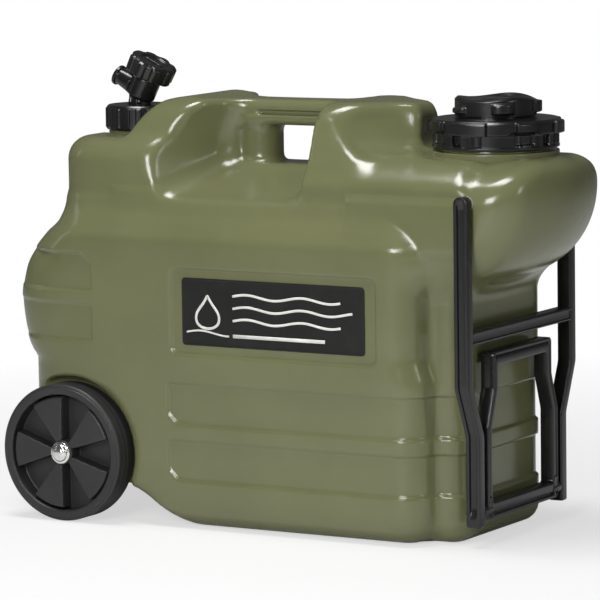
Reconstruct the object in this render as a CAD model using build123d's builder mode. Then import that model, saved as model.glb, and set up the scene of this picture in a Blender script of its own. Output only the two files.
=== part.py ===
from build123d import *
import math
import os

os.makedirs("parts", exist_ok=True)

# Frame: +X points to the filler and pull handle end, -Y to the labelled front, +Z up.
# The origin is on the floor, below the middle of the tank's length. Lengths are in millimetres.

# Tank, outer shape
tank_length = 537.0
tank_half_width = 108.0
wall = 3.0
base_radius = 26.0
prism_height = 143.0
rear_corner_radius = 60.0
front_corner_radius = 31.0
lower_rear = -250.0
lower_front = 173.0
shoulder_bottom = 258.0
shoulder_top = 293.0
upper_half_width = 91.5
upper_rear = -216.0
upper_corner_radius = 38.0
shoulder_front = 155.0
end_wall = 198.0
end_half_width = 80.0
end_corner_radius = 22.0
step_height = 34.0
step_start = -82.0
step_end = -125.0

# Tank, crown with the carry handle
crown_side_top = 316.0
tap_deck = 346.0
deck_end = -100.0
filler_deck = 337.0
handle_top = 381.0
rear_mound_top = 384.0
mound_top = 381.5
handle_half_width = 19.0
handle_bottom = 357.0
gap_floor = 323.0
gap_rear = -62.0
pillar_x = -47.5
pillar_overlap = 5.0
gap_front = 40.0
scoop_rear = -105.0
scoop_root = -66.0
scoop_front = 42.0
gap_corner_radius = 9.0
crown_bottom = 255.0
deck_radius = 20.0
section_radius = 10.0
handle_rear = -60.0
handle_front = 40.0
scoop_radius = 14.0
filler_wall_low = 98.0
filler_wall_high = 58.5
filler_wall_top = 395.0
filler_wall_side = 62.0
filler_wall_run = 48.4
scoop_inner = 18.0
tap_clear_radius = 35.0
filler_clear_radius = 66.0

# Tank, round nose under the filler
nose_radius = 84.0
nose_centre_x = 184.5
nose_centre_z = 308.0
nose_plan_radius = 155.0
nose_top_radius = 16.0
nose_edge_radius = 12.0
nose_start = 100.0
end_base_radius = 18.0

# Recesses
recess_depth = 2.5
panel_depth = 2.5
label_x = 22.5
label_z = 196.3
label_length = 186.6
label_height = 60.4
label_thickness = 1.2
label_corner = 3.5
label_recess_length = 209.0
label_recess_height = 76.6
label_recess_corner = 7.0
panel_rear = -87.0
panel_corner = 4.0
panel_chamfer = 10.0
tank_middle = 200.0
panel_bands = ((43.5, 79.3), (94.0, 130.8))
end_panel_front = -167.0
end_panel_bands = ((163.8, 197.9), (209.7, 243.8))

# Wheels and axle
wheel_radius = 62.5
wheel_width = 28.0
wheel_x = -192.0
wheel_face = 124.5
arch_gap = 5.0
axle_radius = 5.0
axle_play = 0.3
tunnel_wall = 4.0
hub_radius = 11.0
bore_play = 0.08
washer_thickness = 1.2
washer_radius = 12.0
rim_inner_radius = 53.0
rim_web = 3.5
rim_step = 1.2
web_depth = 19.0
spoke_count = 5
spoke_angle = 39.0
spoke_inset = 1.5
spoke_wall = 2.6
spoke_start = -90.0
spoke_root = 0.5
hub_recess = 1.0
axle_stub = 3.0
axle_chamfer = 0.6
tread_chamfer = 1.5
cap_gap = 0.3
cap_dome_radius = 8.0
cap_radius = 10.0
cap_height = 5.5
cap_flange = 1.2
axle_end_gap = 0.6

# Pull frame and grip
frame_front = 216.0
frame_depth = 13.8
arm_thickness = 10.5
arm_outer = 103.5
leg_outer = 84.0
pivot_z = 302.0
jog_top = 142.0
jog_bottom = 98.0
jog_radius = 9.0
foot_radius = 2.0
frame_foot = 18.0
crossbar_bottom = 179.7
crossbar_height = 11.8
pin_radius = 3.2
pin_head_radius = 5.5
pin_head_height = 2.2
pin_depth = 12.0
boss_radius = 8.5
pull_washer_radius = 6.8
groove_depth = 1.2
groove_rim = 2.2
groove_end = 30.0
grip_depth = 13.6
grip_bar = 9.0
grip_half_top = 55.2
grip_half_bottom = 67.0
grip_top = 169.5
grip_bottom = 23.0
grip_bar_top = 13.0
grip_bar_bottom = 14.0
grip_jog_top = 137.0
grip_jog_bottom = 104.0
grip_pivot_z = 31.0
grip_pin_radius = 2.5
grip_play = 0.4
grip_corner = 4.0
lug_radius = 7.0

# Filler neck, lid and vent cap
filler_x = 190.5
neck_radius = 49.5
neck_bore = 45.5
neck_top = 361.0
neck_ring_radius = 56.0
neck_ring_height = 4.0
lid_radius = 55.3
lid_skirt_bottom = 343.7
lid_flange_bottom = 357.0
lid_top = 369.0
lid_plate = 5.0
lid_play = 0.5
lid_lug_radius = 61.0
lid_lug_count = 8
lid_lug_width = 19.0
lid_lug_start = 10.0
lug_corner = 2.5
gasket_inset = 0.4
vent_neck_radius = 32.0
vent_neck_bore = 27.0
vent_neck_top = 380.0
vent_radius = 36.0
vent_lobe_radius = 41.0
vent_lobe_count = 5
vent_lobe = 9.0
vent_lobe_start = 20.0
vent_top = 388.5
vent_bottom = 371.0
vent_plate = 6.0
vent_dish_radius = 22.0
vent_dish_depth = 2.5

# Tap
tap_x = -179.0
tap_neck_radius = 24.0
tap_neck_bore = 19.0
tap_neck_top = 363.0
tap_ring_radius = 29.0
tap_ring_height = 1.5
collar_radius = 30.5
collar_bottom = 348.0
collar_top = 370.5
collar_plate = 3.0
collar_hole_radius = 11.0
collar_rib_count = 18
collar_rib = 1.2
collar_rib_width = 4.5
tap_flange_radius = 22.5
tap_flange_height = 2.5
column_radius = 10.2
column_bore = 5.5
tap_joint_x = -175.6
tap_joint_z = 383.8
tap_tilt = 26.7
barrel_radius = 13.5
barrel_low = 7.6
barrel_high = 13.0
stem_radius = 9.0
stem_play = 0.08
stem_hole = 4.5
seal_low = 8.5
spindle_radius = 6.0
spindle_end = 23.0
barrel_floor = 2.0
outlet_radius = 8.0
outlet_bore = 5.5
outlet_length = 30.0
outlet_ring_radius = 9.6
outlet_ring_width = 3.0
knob_low = 14.0
knob_high = 30.0
knob_radius = 19.5
knob_lobe_count = 8
knob_lobe_radius = 5.0
knob_lobe_reach = 2.0
knob_dish_radius = 11.0
knob_dish_depth = 3.0
seal_section = 1.5

# Values worked out from the ones above
tank_front_x = tank_length / 2
wheel_back = wheel_face - wheel_width
web_low = wheel_face - web_depth
hub_face = wheel_face - hub_recess
axle_reach = hub_face + axle_stub
pocket_floor = wheel_back - washer_thickness - axle_play
arch_radius = wheel_radius + arch_gap
axle_z = wheel_radius
frame_rear = frame_front - frame_depth
frame_mid = (frame_front + frame_rear) / 2
arm_inner = arm_outer - arm_thickness
leg_inner = leg_outer - arm_thickness
through = 400.0


def plan_outline(height, rear, front, half, rear_radius, front_radius):
    """Level outline of the tank at one height, with its rear and front corners rounded."""
    with BuildSketch(Plane.XY.offset(height)) as outline:
        with BuildLine():
            Polyline((rear, -half), (front, -half), (front, half), (rear, half), close=True)
        make_face()
        fillet(outline.vertices().group_by(Axis.X)[0], rear_radius)
        fillet(outline.vertices().group_by(Axis.X)[-1], front_radius)
    return outline.sketch


# Rear outline of the belly: height above the floor, rearmost x
bulge = (
    (prism_height, lower_rear),
    (158.0, -260.0),
    (174.0, -266.0),
    (198.0, -tank_length / 2),
    (224.0, -263.5),
    (243.0, -252.5),
    (shoulder_bottom, -239.0),
)
# Shoulder: height, rear x, front x, half width, rear corner radius
shoulder = (
    (shoulder_bottom, -239.0, lower_front, tank_half_width, rear_corner_radius),
    (270.0, -226.0, 167.0, 103.0, 50.0),
    (shoulder_top, upper_rear, shoulder_front, upper_half_width, upper_corner_radius),
)


def lower_body(inset):
    """Lower tank with its bulged rear and sloped shoulder, every face moved in by inset."""
    half = tank_half_width - inset
    front = lower_front - inset
    front_radius = front_corner_radius - inset
    base = plan_outline(inset, lower_rear + inset, front, half, rear_corner_radius - inset, front_radius)
    belly = [
        plan_outline(height, rear + inset, front, half, rear_corner_radius - inset, front_radius)
        for height, rear in bulge
    ]
    slope = [
        plan_outline(height, rear + inset, end - inset, width - inset, radius - inset, front_radius)
        for height, rear, end, width, radius in shoulder
    ]
    with BuildPart() as body:
        extrude(base, amount=prism_height - inset)
        fillet(body.faces().sort_by(Axis.Z)[0].edges(), base_radius - inset)
        loft(belly)
        loft(slope, ruled=True)
    return body.part


def end_block(inset):
    """Narrower end of the tank that stands behind the pull frame."""
    block = plan_outline(inset, nose_start, end_wall - inset, end_half_width - inset,
                         1.0, end_corner_radius - inset)
    with BuildPart() as end:
        extrude(block, amount=nose_centre_z - inset)
        front_edges = end.faces().sort_by(Axis.Z)[0].edges().group_by(Axis.X)[1:]
        fillet([edge for group in front_edges for edge in group], end_base_radius - inset)
    return end.part


def nose(inset):
    """Round nose below the filler: a drum lying across the tank, bowed outwards in plan."""
    with BuildSketch(Plane.XZ) as side:
        with Locations((nose_centre_x, nose_centre_z)):
            Circle(nose_radius - inset)
        with Locations((nose_start, filler_deck - inset)):
            Rectangle(through, through, align=(Align.MIN, Align.MAX), mode=Mode.INTERSECT)
        fillet(side.vertices().group_by(Axis.Z)[-1].sort_by(Axis.X)[-1], nose_top_radius - inset)
    half = upper_half_width - inset
    with BuildSketch() as plan:
        with Locations((tank_front_x - nose_plan_radius, 0)):
            Circle(nose_plan_radius - inset)
        with Locations((nose_start, 0)):
            Rectangle(through, 2 * half, align=(Align.MIN, Align.CENTER), mode=Mode.INTERSECT)
        fillet(plan.vertices().group_by(Axis.X)[-1], nose_edge_radius - inset)
    with BuildPart() as drum:
        extrude(side.sketch, amount=through, both=True)
        extrude(plan.sketch, amount=through, both=True, mode=Mode.INTERSECT)
    return drum.part


def scoop_plan(height, points, inset):
    """Level outline of a scoop at one height, its two inner corners rounded."""
    with BuildSketch(Plane.XY.offset(height)) as plan:
        with BuildLine():
            Polyline(*points, close=True)
        make_face()
        fillet(plan.vertices().sort_by(Axis.Y)[-2:], scoop_radius)
        if inset:
            offset(amount=inset)
    return plan.sketch


def scoop_cutter(low_plan, high_plan, slope, inset):
    """Cutter for a scooped side: walls between two level outlines, above a sloped floor."""
    with BuildSketch(Plane.YZ) as section:
        with BuildLine():
            Polyline(*slope, (-through, through), (0, through), close=True)
        make_face()
        if inset:
            offset(amount=inset)
    with BuildPart() as cutter:
        loft((low_plan, high_plan), ruled=True)
        extrude(section.sketch, amount=through, both=True, mode=Mode.INTERSECT)
    return cutter.part


def filler_scoop_plan(height, wall_x, inset):
    """Level outline of the scoop beside the filler, whose rear wall stands at wall_x."""
    return scoop_plan(height, (
        (wall_x, -through), (wall_x, -filler_wall_side),
        (wall_x + filler_wall_run, -scoop_inner), (filler_x + 1.0, -scoop_inner),
        (filler_x + 1.0, -through)), inset)


def deck_block(inset):
    """Full-width block under the tap, rounded along its upper edges."""
    plan = plan_outline(crown_bottom, upper_rear + inset, deck_end, upper_half_width - inset,
                        upper_corner_radius - inset, 1.0)
    with BuildPart() as block:
        extrude(plan, amount=tap_deck - inset - crown_bottom)
        upper = block.faces().sort_by(Axis.Z)[-1].edges().sort_by(Axis.X)
        fillet(upper[:-3], deck_radius - inset)
    return block.part


def crown(inset):
    """Upper tank: tap deck, the two mounds and the carry handle between them."""
    with BuildSketch(Plane.XZ) as side:
        with BuildLine():
            Polyline(
                (-150.0, crown_bottom),
                (-150.0, tap_deck - inset),
                (-139.0, 368.0),
                (-112.0, rear_mound_top - 2.0),
                (-85.0, rear_mound_top),
                (handle_rear, rear_mound_top - 2.0),
                (handle_front, handle_top),
                (54.0, mound_top),
                (116.0, mound_top),
                (136.0, filler_deck),
                (filler_x, filler_deck),
                (filler_x, crown_bottom),
                close=True,
            )
        make_face()
        if inset:
            offset(amount=-inset)
    with BuildSketch(Plane.YZ) as section:
        with BuildLine():
            Polyline(
                (-upper_half_width, crown_bottom - through),
                (-upper_half_width, crown_side_top),
                (-77.0, 338.0),
                (-67.0, 367.0),
                (-50.0, mound_top + 2.0),
                (50.0, mound_top + 2.0),
                (67.0, 367.0),
                (77.0, 338.0),
                (upper_half_width, crown_side_top),
                (upper_half_width, crown_bottom - through),
                close=True,
            )
        make_face()
        fillet(section.vertices().group_by(Axis.Z)[1:], section_radius)
        if inset:
            offset(amount=-inset)
    hand_points = (
        (scoop_rear, -through), (scoop_rear, -upper_half_width), (scoop_root, -handle_half_width),
        (scoop_front, -handle_half_width), (scoop_front, -through))
    hand_scoop = scoop_cutter(
        scoop_plan(crown_bottom, hand_points, inset), scoop_plan(filler_wall_top, hand_points, inset),
        ((-handle_half_width + 10.0, gap_floor + 4.0), (-upper_half_width, shoulder_top),
         (-through, shoulder_top)),
        inset)
    filler_scoop = scoop_cutter(
        filler_scoop_plan(crown_side_top - inset, filler_wall_low, inset),
        filler_scoop_plan(filler_wall_top, filler_wall_high, inset),
        ((0.0, filler_deck), (-60.0, filler_deck), (-upper_half_width, crown_side_top),
         (-through, crown_side_top)),
        inset)
    with BuildPart() as top:
        extrude(side.sketch, amount=through, both=True)
        extrude(section.sketch, amount=through, both=True, mode=Mode.INTERSECT)
        add(deck_block(inset))
        for cutter in (hand_scoop, filler_scoop):
            add(cutter, mode=Mode.SUBTRACT)
            add(cutter.mirror(Plane.XZ), mode=Mode.SUBTRACT)
        with BuildSketch(Plane.XZ) as gap:
            with Locations(((gap_rear + gap_front) / 2, (gap_floor + handle_bottom) / 2)):
                RectangleRounded(gap_front - gap_rear + 2 * inset, handle_bottom - gap_floor + 2 * inset,
                                 gap_corner_radius + inset)
        extrude(amount=through, both=True, mode=Mode.SUBTRACT)
        with BuildSketch(Plane.XY.offset(gap_floor - pillar_overlap)):
            with Locations((pillar_x, 0)):
                Circle(handle_half_width - inset)
        extrude(amount=handle_bottom - gap_floor + 2 * pillar_overlap)
        with BuildSketch(Plane.XY.offset(tap_deck - inset)) as clear_tap:
            with Locations((tap_x, 0)):
                Circle(tap_clear_radius + inset)
        extrude(amount=through, mode=Mode.SUBTRACT)
        with BuildSketch(Plane.XY.offset(filler_deck - inset)) as clear_filler:
            with Locations((filler_x, 0)):
                Circle(filler_clear_radius + inset)
        extrude(amount=through, mode=Mode.SUBTRACT)
    return top.part


def cross_cylinder(radius, low, high, x=wheel_x, z=wheel_radius):
    """Cylinder along Y between two distances from the middle plane."""
    with BuildPart() as drum:
        with BuildSketch(Plane((x, low, z), x_dir=(1, 0, 0), z_dir=(0, 1, 0))):
            Circle(radius)
        extrude(amount=high - low)
    return drum.part


def tank_form(inset):
    """Whole outer form of the tank without recesses and necks, moved in by inset."""
    wheel_arch = cross_cylinder(arch_radius + inset, pocket_floor - inset, through)
    with BuildSketch(Plane.XZ) as under:
        with BuildLine():
            Polyline((step_start, 0), (step_end, step_height), (-through, step_height), (-through, 0),
                     close=True)
        make_face()
        if inset:
            offset(amount=inset)
    with BuildPart() as form:
        add(lower_body(inset))
        add(end_block(inset))
        add(crown(inset))
        add(nose(inset))
        extrude(under.sketch, amount=through, both=True, mode=Mode.SUBTRACT)
        add(wheel_arch, mode=Mode.SUBTRACT)
        add(wheel_arch.mirror(Plane.XZ), mode=Mode.SUBTRACT)
    return form.part


def panel_bars(depth, margin):
    """Bars that hold the panels: the front and end panels, and those round the rear corners."""
    with BuildPart() as bars:
        for low, high in panel_bands:
            with BuildSketch(Plane.XZ) as front_band:
                with Locations((panel_rear - margin, (low + high) / 2)):
                    Rectangle(through, high - low + 2 * margin, align=(Align.MIN, Align.CENTER))
                corners = front_band.vertices().group_by(Axis.X)[0].sort_by(Axis.Z)
                chamfer(corners[0], panel_chamfer)
                fillet(corners[-1], panel_corner)
            extrude(amount=through, both=True)
        for low, high in end_panel_bands:
            with BuildSketch(Plane.XZ) as rear_band:
                with Locations((end_panel_front + margin, (low + high) / 2)):
                    Rectangle(through, high - low + 2 * margin, align=(Align.MAX, Align.CENTER))
                corners = rear_band.vertices().group_by(Axis.X)[-1].sort_by(Axis.Z)
                fillet(corners[0], panel_corner)
                chamfer(corners[-1], panel_chamfer if high > tank_middle else panel_corner)
            extrude(amount=through, both=True)
        add(lower_body(depth), mode=Mode.SUBTRACT)
        add(end_block(depth), mode=Mode.SUBTRACT)
    return bars.part


def label_block(depth, margin):
    """Block of the label recess, on both long sides."""
    with BuildPart() as block:
        with BuildSketch(Plane.XZ.offset(tank_half_width - depth)):
            with Locations((label_x, label_z)):
                RectangleRounded(label_recess_length + 2 * margin, label_recess_height + 2 * margin,
                                 label_recess_corner + margin)
        extrude(amount=through)
        mirror(about=Plane.XZ)
    return block.part


def finish(builder, name):
    """Labels a finished piece and writes its file."""
    builder.part.label = name
    export_step(builder.part, "parts/" + name + ".step")


def turn(points, base, direction):
    """Turned solid: points are (radius, distance along the axis from base)."""
    across = Plane(origin=base, z_dir=direction).x_dir
    with BuildPart() as solid:
        with BuildSketch(Plane(origin=base, x_dir=across, z_dir=across.cross(Vector(direction)))):
            with BuildLine():
                Polyline(*points, close=True)
            make_face()
        revolve(axis=Axis(base, direction))
    return solid.part


def ring(inner, outer, low, high, base, direction):
    """Plain ring about an axis, between two distances from base."""
    return turn(((inner, low), (outer, low), (outer, high), (inner, high)), base, direction)


def make(shape, name):
    """Writes one finished solid under its own name."""
    with BuildPart() as piece:
        add(shape)
    finish(piece, name)


outer_form = tank_form(0)
inner_form = tank_form(wall)
recess_cut = panel_bars(panel_depth, 0)
recess_keep = panel_bars(panel_depth + wall, wall)
label_cut = label_block(recess_depth, 0)
label_keep = label_block(recess_depth + wall, wall)
tunnel_tube = cross_cylinder(axle_radius + axle_play + tunnel_wall, -pocket_floor, pocket_floor)
boss_start = upper_half_width - wall - pin_depth
pivot_boss = cross_cylinder(boss_radius, boss_start, upper_half_width, frame_mid, pivot_z)

with BuildPart() as cavity:
    add(inner_form)
    add(recess_keep, mode=Mode.SUBTRACT)
    add(label_keep, mode=Mode.SUBTRACT)
    add(tunnel_tube, mode=Mode.SUBTRACT)
    add(pivot_boss, mode=Mode.SUBTRACT)
    add(pivot_boss.mirror(Plane.XZ), mode=Mode.SUBTRACT)

pin_hole = cross_cylinder(pin_radius, upper_half_width - pin_depth, through, frame_mid, pivot_z)
axle_hole = cross_cylinder(axle_radius + axle_play, -through, through)

with BuildPart() as tank:
    add(outer_form)
    add(recess_cut, mode=Mode.SUBTRACT)
    add(label_cut, mode=Mode.SUBTRACT)
    for x, deck, foot_circle, foot_height, radius, top in (
        (filler_x, filler_deck, neck_ring_radius, neck_ring_height, neck_radius, neck_top),
        (tap_x, tap_deck, tap_ring_radius, tap_ring_height, tap_neck_radius, tap_neck_top),
    ):
        with BuildSketch(Plane.XY.offset(deck - wall)):
            with Locations((x, 0)):
                Circle(foot_circle)
        extrude(amount=wall + foot_height)
        with BuildSketch(Plane.XY.offset(deck)):
            with Locations((x, 0)):
                Circle(radius)
        extrude(amount=top - deck)
    add(cavity.part, mode=Mode.SUBTRACT)
    for x, deck, bore, top in (
        (filler_x, filler_deck, neck_bore, neck_top),
        (tap_x, tap_deck, tap_neck_bore, tap_neck_top),
    ):
        with BuildSketch(Plane.XY.offset(deck - 2 * wall)):
            with Locations((x, 0)):
                Circle(bore)
        extrude(amount=top - deck + 3 * wall, mode=Mode.SUBTRACT)
    add(axle_hole, mode=Mode.SUBTRACT)
    add(pin_hole, mode=Mode.SUBTRACT)
    add(pin_hole.mirror(Plane.XZ), mode=Mode.SUBTRACT)
finish(tank, "tank")
print("cavity litres", round(cavity.part.volume / 1e6, 2), "tank litres", round(tank.part.volume / 1e6, 3))


# Label plate, seated on the floor of the front recess
with BuildPart() as label_plate:
    with BuildSketch(Plane.XZ.offset(tank_half_width - recess_depth)):
        with Locations((label_x, label_z)):
            RectangleRounded(label_length, label_height, label_corner)
    extrude(amount=label_thickness)
finish(label_plate, "label_plate")

wheel_centre = (wheel_x, 0, axle_z)
to_front = (0, -1, 0)

# Axle, one straight rod through the tunnel, with both ends chamfered
with BuildPart() as axle:
    add(cross_cylinder(axle_radius, -axle_reach, axle_reach))
    chamfer(axle.edges().group_by(Axis.Y)[0] + axle.edges().group_by(Axis.Y)[-1], axle_chamfer)
finish(axle, "axle")

# Wheel on the -Y side: rim band, recessed web, hub, and five flat hollow spokes
with BuildPart() as wheel:
    add(turn(
        ((axle_radius + bore_play, wheel_back), (hub_radius, wheel_back), (hub_radius, web_low),
         (rim_inner_radius, web_low), (rim_inner_radius, wheel_back), (wheel_radius, wheel_back),
         (wheel_radius, wheel_face), (rim_inner_radius, wheel_face - rim_step),
         (rim_inner_radius, web_low + rim_web), (hub_radius, web_low + rim_web), (hub_radius, hub_face),
         (axle_radius + bore_play, hub_face)),
        wheel_centre, to_front))
    chamfer(wheel.edges().filter_by(GeomType.CIRCLE).filter_by(
        lambda edge: abs(edge.radius - wheel_radius) < bore_play), tread_chamfer)
    for number in range(spoke_count):
        for low, high, trim, mode in (
            (web_low, wheel_face - spoke_inset, 0.0, Mode.ADD),
            (web_low - rim_web, wheel_face - spoke_inset - spoke_wall, spoke_wall, Mode.SUBTRACT),
        ):
            angle = spoke_start + 360.0 / spoke_count * number
            near = trim / math.sin(math.radians(spoke_angle / 2))
            far = rim_inner_radius / math.cos(math.radians(spoke_angle / 2))
            low_side = Vector(near, 0).rotate(Axis.Z, angle)
            spread = [low_side + Vector(far, 0).rotate(Axis.Z, angle + turned)
                      for turned in (-spoke_angle / 2, spoke_angle / 2)]
            with BuildSketch(Plane((wheel_x, -low, axle_z), x_dir=(1, 0, 0), z_dir=to_front)):
                with BuildLine():
                    Polyline(low_side, *spread, close=True)
                make_face()
                Circle(rim_inner_radius + spoke_root - trim, mode=Mode.INTERSECT)
                Circle(hub_radius - spoke_root + trim, mode=Mode.SUBTRACT)
            extrude(amount=high - low, mode=mode)
finish(wheel, "wheel_front")
make(wheel.part.mirror(Plane.XZ), "wheel_rear")

# Dome caps on the axle ends and washers behind the wheels
cap_base = hub_face + cap_gap
dome = turn(
    ((0, axle_reach), (axle_radius, axle_reach), (axle_radius, cap_base), (cap_radius, cap_base),
     (cap_radius, cap_base + cap_flange), (cap_dome_radius, cap_base + cap_flange),
     (cap_dome_radius * 0.86, cap_base + cap_height * 0.7), (cap_dome_radius * 0.5, cap_base + cap_height * 0.94),
     (0, cap_base + cap_height)),
    wheel_centre, to_front)
axle_washer = ring(axle_radius + axle_play, washer_radius, pocket_floor, pocket_floor + washer_thickness,
                   wheel_centre, to_front)
make(dome, "hub_cap_front")
make(dome.mirror(Plane.XZ), "hub_cap_rear")
make(axle_washer, "axle_washer_front")
make(axle_washer.mirror(Plane.XZ), "axle_washer_rear")

# Pull frame: two cranked arms and a crossbar
pivot = (frame_mid, 0, pivot_z)
grip_pivot = (frame_mid, 0, grip_pivot_z)
with BuildPart() as pull_frame:
    with BuildSketch(Plane.YZ.offset(frame_rear)) as arm:
        with BuildLine():
            Polyline((arm_outer, pivot_z), (arm_outer, jog_top), (leg_outer, jog_bottom), (leg_outer, frame_foot),
                     (leg_inner, frame_foot), (leg_inner, jog_bottom), (arm_inner, jog_top), (arm_inner, pivot_z),
                     close=True)
        make_face()
        bends = arm.vertices().filter_by(lambda corner: jog_bottom - 1 < corner.Z < jog_top + 1)
        fillet(bends, jog_radius)
        fillet(arm.vertices().group_by(Axis.Z)[0], foot_radius)
    extrude(amount=frame_depth)
    add(ring(0, frame_depth / 2, -arm_outer, -arm_inner, pivot, to_front))
    with BuildSketch(Plane.XZ.offset(-arm_outer)) as side_groove:
        with Locations((frame_mid, (pivot_z + jog_top) / 2)):
            SlotOverall(pivot_z - jog_top - groove_end, frame_depth - 2 * groove_rim, rotation=90)
    extrude(amount=groove_depth, mode=Mode.SUBTRACT)
    mirror(about=Plane.XZ)
    with BuildSketch(Plane.YZ.offset(frame_rear)):
        with Locations((0, crossbar_bottom)):
            Rectangle(2 * arm_inner + bore_play, crossbar_height, align=(Align.CENTER, Align.MIN))
    extrude(amount=frame_depth)
    for axis_point, radius in ((pivot, pin_radius + bore_play), (grip_pivot, grip_pin_radius)):
        add(ring(0, radius, -through, through, axis_point, to_front), mode=Mode.SUBTRACT)
finish(pull_frame, "pull_frame")

pivot_pin = turn(
    ((0, upper_half_width - pin_depth), (pin_radius, upper_half_width - pin_depth),
     (pin_radius, arm_outer + axle_play), (pin_head_radius, arm_outer + axle_play),
     (pin_head_radius, arm_outer + pin_head_height * 0.5),
     (pin_head_radius * 0.6, arm_outer + pin_head_height),
     (0, arm_outer + pin_head_height)),
    pivot, to_front)
pull_washer = ring(pin_radius + bore_play, pull_washer_radius, upper_half_width,
                   arm_inner - axle_play, pivot, to_front)
make(pivot_pin, "pivot_pin_front")
make(pivot_pin.mirror(Plane.XZ), "pivot_pin_rear")
make(pull_washer, "pull_washer_front")
make(pull_washer.mirror(Plane.XZ), "pull_washer_rear")

# Folding grip: a closed ring with lugs at its lower corners
with BuildPart() as pull_grip:
    with BuildSketch(Plane.YZ.offset(frame_front - grip_depth)) as loop:
        for half_top, half_bottom, top, bottom, mode in (
            (grip_half_top, grip_half_bottom, grip_top, grip_bottom, Mode.ADD),
            (grip_half_top - grip_bar, grip_half_bottom - grip_bar, grip_top - grip_bar_top,
             grip_bottom + grip_bar_bottom, Mode.SUBTRACT),
        ):
            with BuildLine():
                Polyline((half_bottom, bottom), (half_bottom, grip_jog_bottom), (half_top, grip_jog_top),
                         (half_top, top), (-half_top, top), (-half_top, grip_jog_top),
                         (-half_bottom, grip_jog_bottom), (-half_bottom, bottom), close=True)
            make_face(mode=mode)
        fillet(loop.vertices(), grip_corner)
    extrude(amount=grip_depth)
    for side in (-1, 1):
        add(ring(0, lug_radius, side * (leg_inner - grip_play), side * (grip_half_bottom - grip_bar),
                 (frame_front - grip_depth / 2, 0, grip_pivot_z), to_front))
    with BuildSketch(Plane.YZ.offset(frame_front)):
        with Locations((0, grip_top - grip_bar_top / 2)):
            Rectangle(2 * (grip_half_top - grip_bar), grip_bar_top - 2 * groove_rim)
    extrude(amount=-groove_depth, mode=Mode.SUBTRACT)
    add(ring(0, grip_pin_radius + bore_play, -through, through, grip_pivot, to_front), mode=Mode.SUBTRACT)
finish(pull_grip, "pull_grip")

grip_pin = turn(
    ((0, grip_half_bottom - grip_bar), (grip_pin_radius, grip_half_bottom - grip_bar),
     (grip_pin_radius, leg_outer), (pin_head_radius * 0.8, leg_outer),
     (pin_head_radius * 0.5, leg_outer + pin_head_height * 0.7), (0, leg_outer + pin_head_height * 0.7)),
    grip_pivot, to_front)
make(grip_pin, "grip_pin_front")
make(grip_pin.mirror(Plane.XZ), "grip_pin_rear")

# Filler lid with lugs and a small threaded neck of its own
up = (0, 0, 1)
filler = (filler_x, 0, 0)
lid_plate_bottom = lid_top - lid_plate
with BuildPart() as filler_lid:
    add(turn(
        ((neck_radius + lid_play, lid_skirt_bottom), (lid_radius, lid_skirt_bottom), (lid_radius, lid_top - 1.5),
         (lid_radius - 1.5, lid_top), (vent_neck_radius, lid_top), (vent_neck_radius, vent_neck_top),
         (vent_neck_bore, vent_neck_top), (vent_neck_bore, lid_plate_bottom),
         (neck_radius + lid_play, lid_plate_bottom)),
        filler, up))
    with BuildSketch(Plane.XY.offset(lid_flange_bottom)):
        with Locations((filler_x, 0)):
            with PolarLocations(lid_radius, lid_lug_count, start_angle=lid_lug_start):
                RectangleRounded(2 * (lid_lug_radius - lid_radius), lid_lug_width, lug_corner)
            Circle(lid_radius - 2.0, mode=Mode.SUBTRACT)
    extrude(amount=lid_top - lid_flange_bottom - 1.5)
finish(filler_lid, "filler_lid")
make(ring(neck_bore + gasket_inset, neck_radius, neck_top, lid_plate_bottom, filler, up), "lid_gasket")

# Vent cap in the middle of the lid, with a lobed rim and a dished top
with BuildPart() as vent_cap:
    add(turn(
        ((vent_neck_radius + lid_play, vent_bottom), (vent_radius, vent_bottom), (vent_radius, vent_top),
         (vent_dish_radius, vent_top), (vent_dish_radius, vent_top - vent_dish_depth),
         (0, vent_top - vent_dish_depth), (0, vent_top - vent_plate),
         (vent_neck_radius + lid_play, vent_top - vent_plate)),
        filler, up))
    with BuildSketch(Plane.XY.offset(vent_bottom + 4.0)):
        with Locations((filler_x, 0)):
            with PolarLocations(vent_lobe_radius - vent_lobe, vent_lobe_count, start_angle=vent_lobe_start):
                Circle(vent_lobe)
            Circle(vent_radius - 2.0, mode=Mode.SUBTRACT)
    extrude(amount=vent_top - vent_bottom - 5.0)
finish(vent_cap, "vent_cap")
make(ring(vent_neck_bore + gasket_inset, vent_neck_radius, vent_neck_top, vent_top - vent_plate, filler, up),
     "vent_gasket")

# Tap: collar nut, gasket, body with its outlet, stem, seal ring and knob
tap_foot = (tap_x, 0, 0)
flange_bottom = collar_top - collar_plate - tap_flange_height
with BuildPart() as tap_collar:
    add(turn(
        ((tap_neck_radius + lid_play, collar_bottom), (collar_radius, collar_bottom), (collar_radius, collar_top - 1.5),
         (collar_radius - 1.5, collar_top), (collar_hole_radius, collar_top),
         (collar_hole_radius, collar_top - collar_plate), (tap_neck_radius + lid_play, collar_top - collar_plate)),
        tap_foot, up))
    with BuildSketch(Plane.XY.offset(collar_bottom + 1.5)):
        with Locations((tap_x, 0)):
            with PolarLocations(collar_radius, collar_rib_count):
                Rectangle(2 * collar_rib, collar_rib_width)
            Circle(collar_radius - 1.0, mode=Mode.SUBTRACT)
    extrude(amount=collar_top - collar_bottom - 4.0)
finish(tap_collar, "tap_collar")
make(ring(tap_neck_bore + gasket_inset, tap_neck_radius, tap_neck_top, flange_bottom, tap_foot, up), "tap_gasket")

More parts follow.
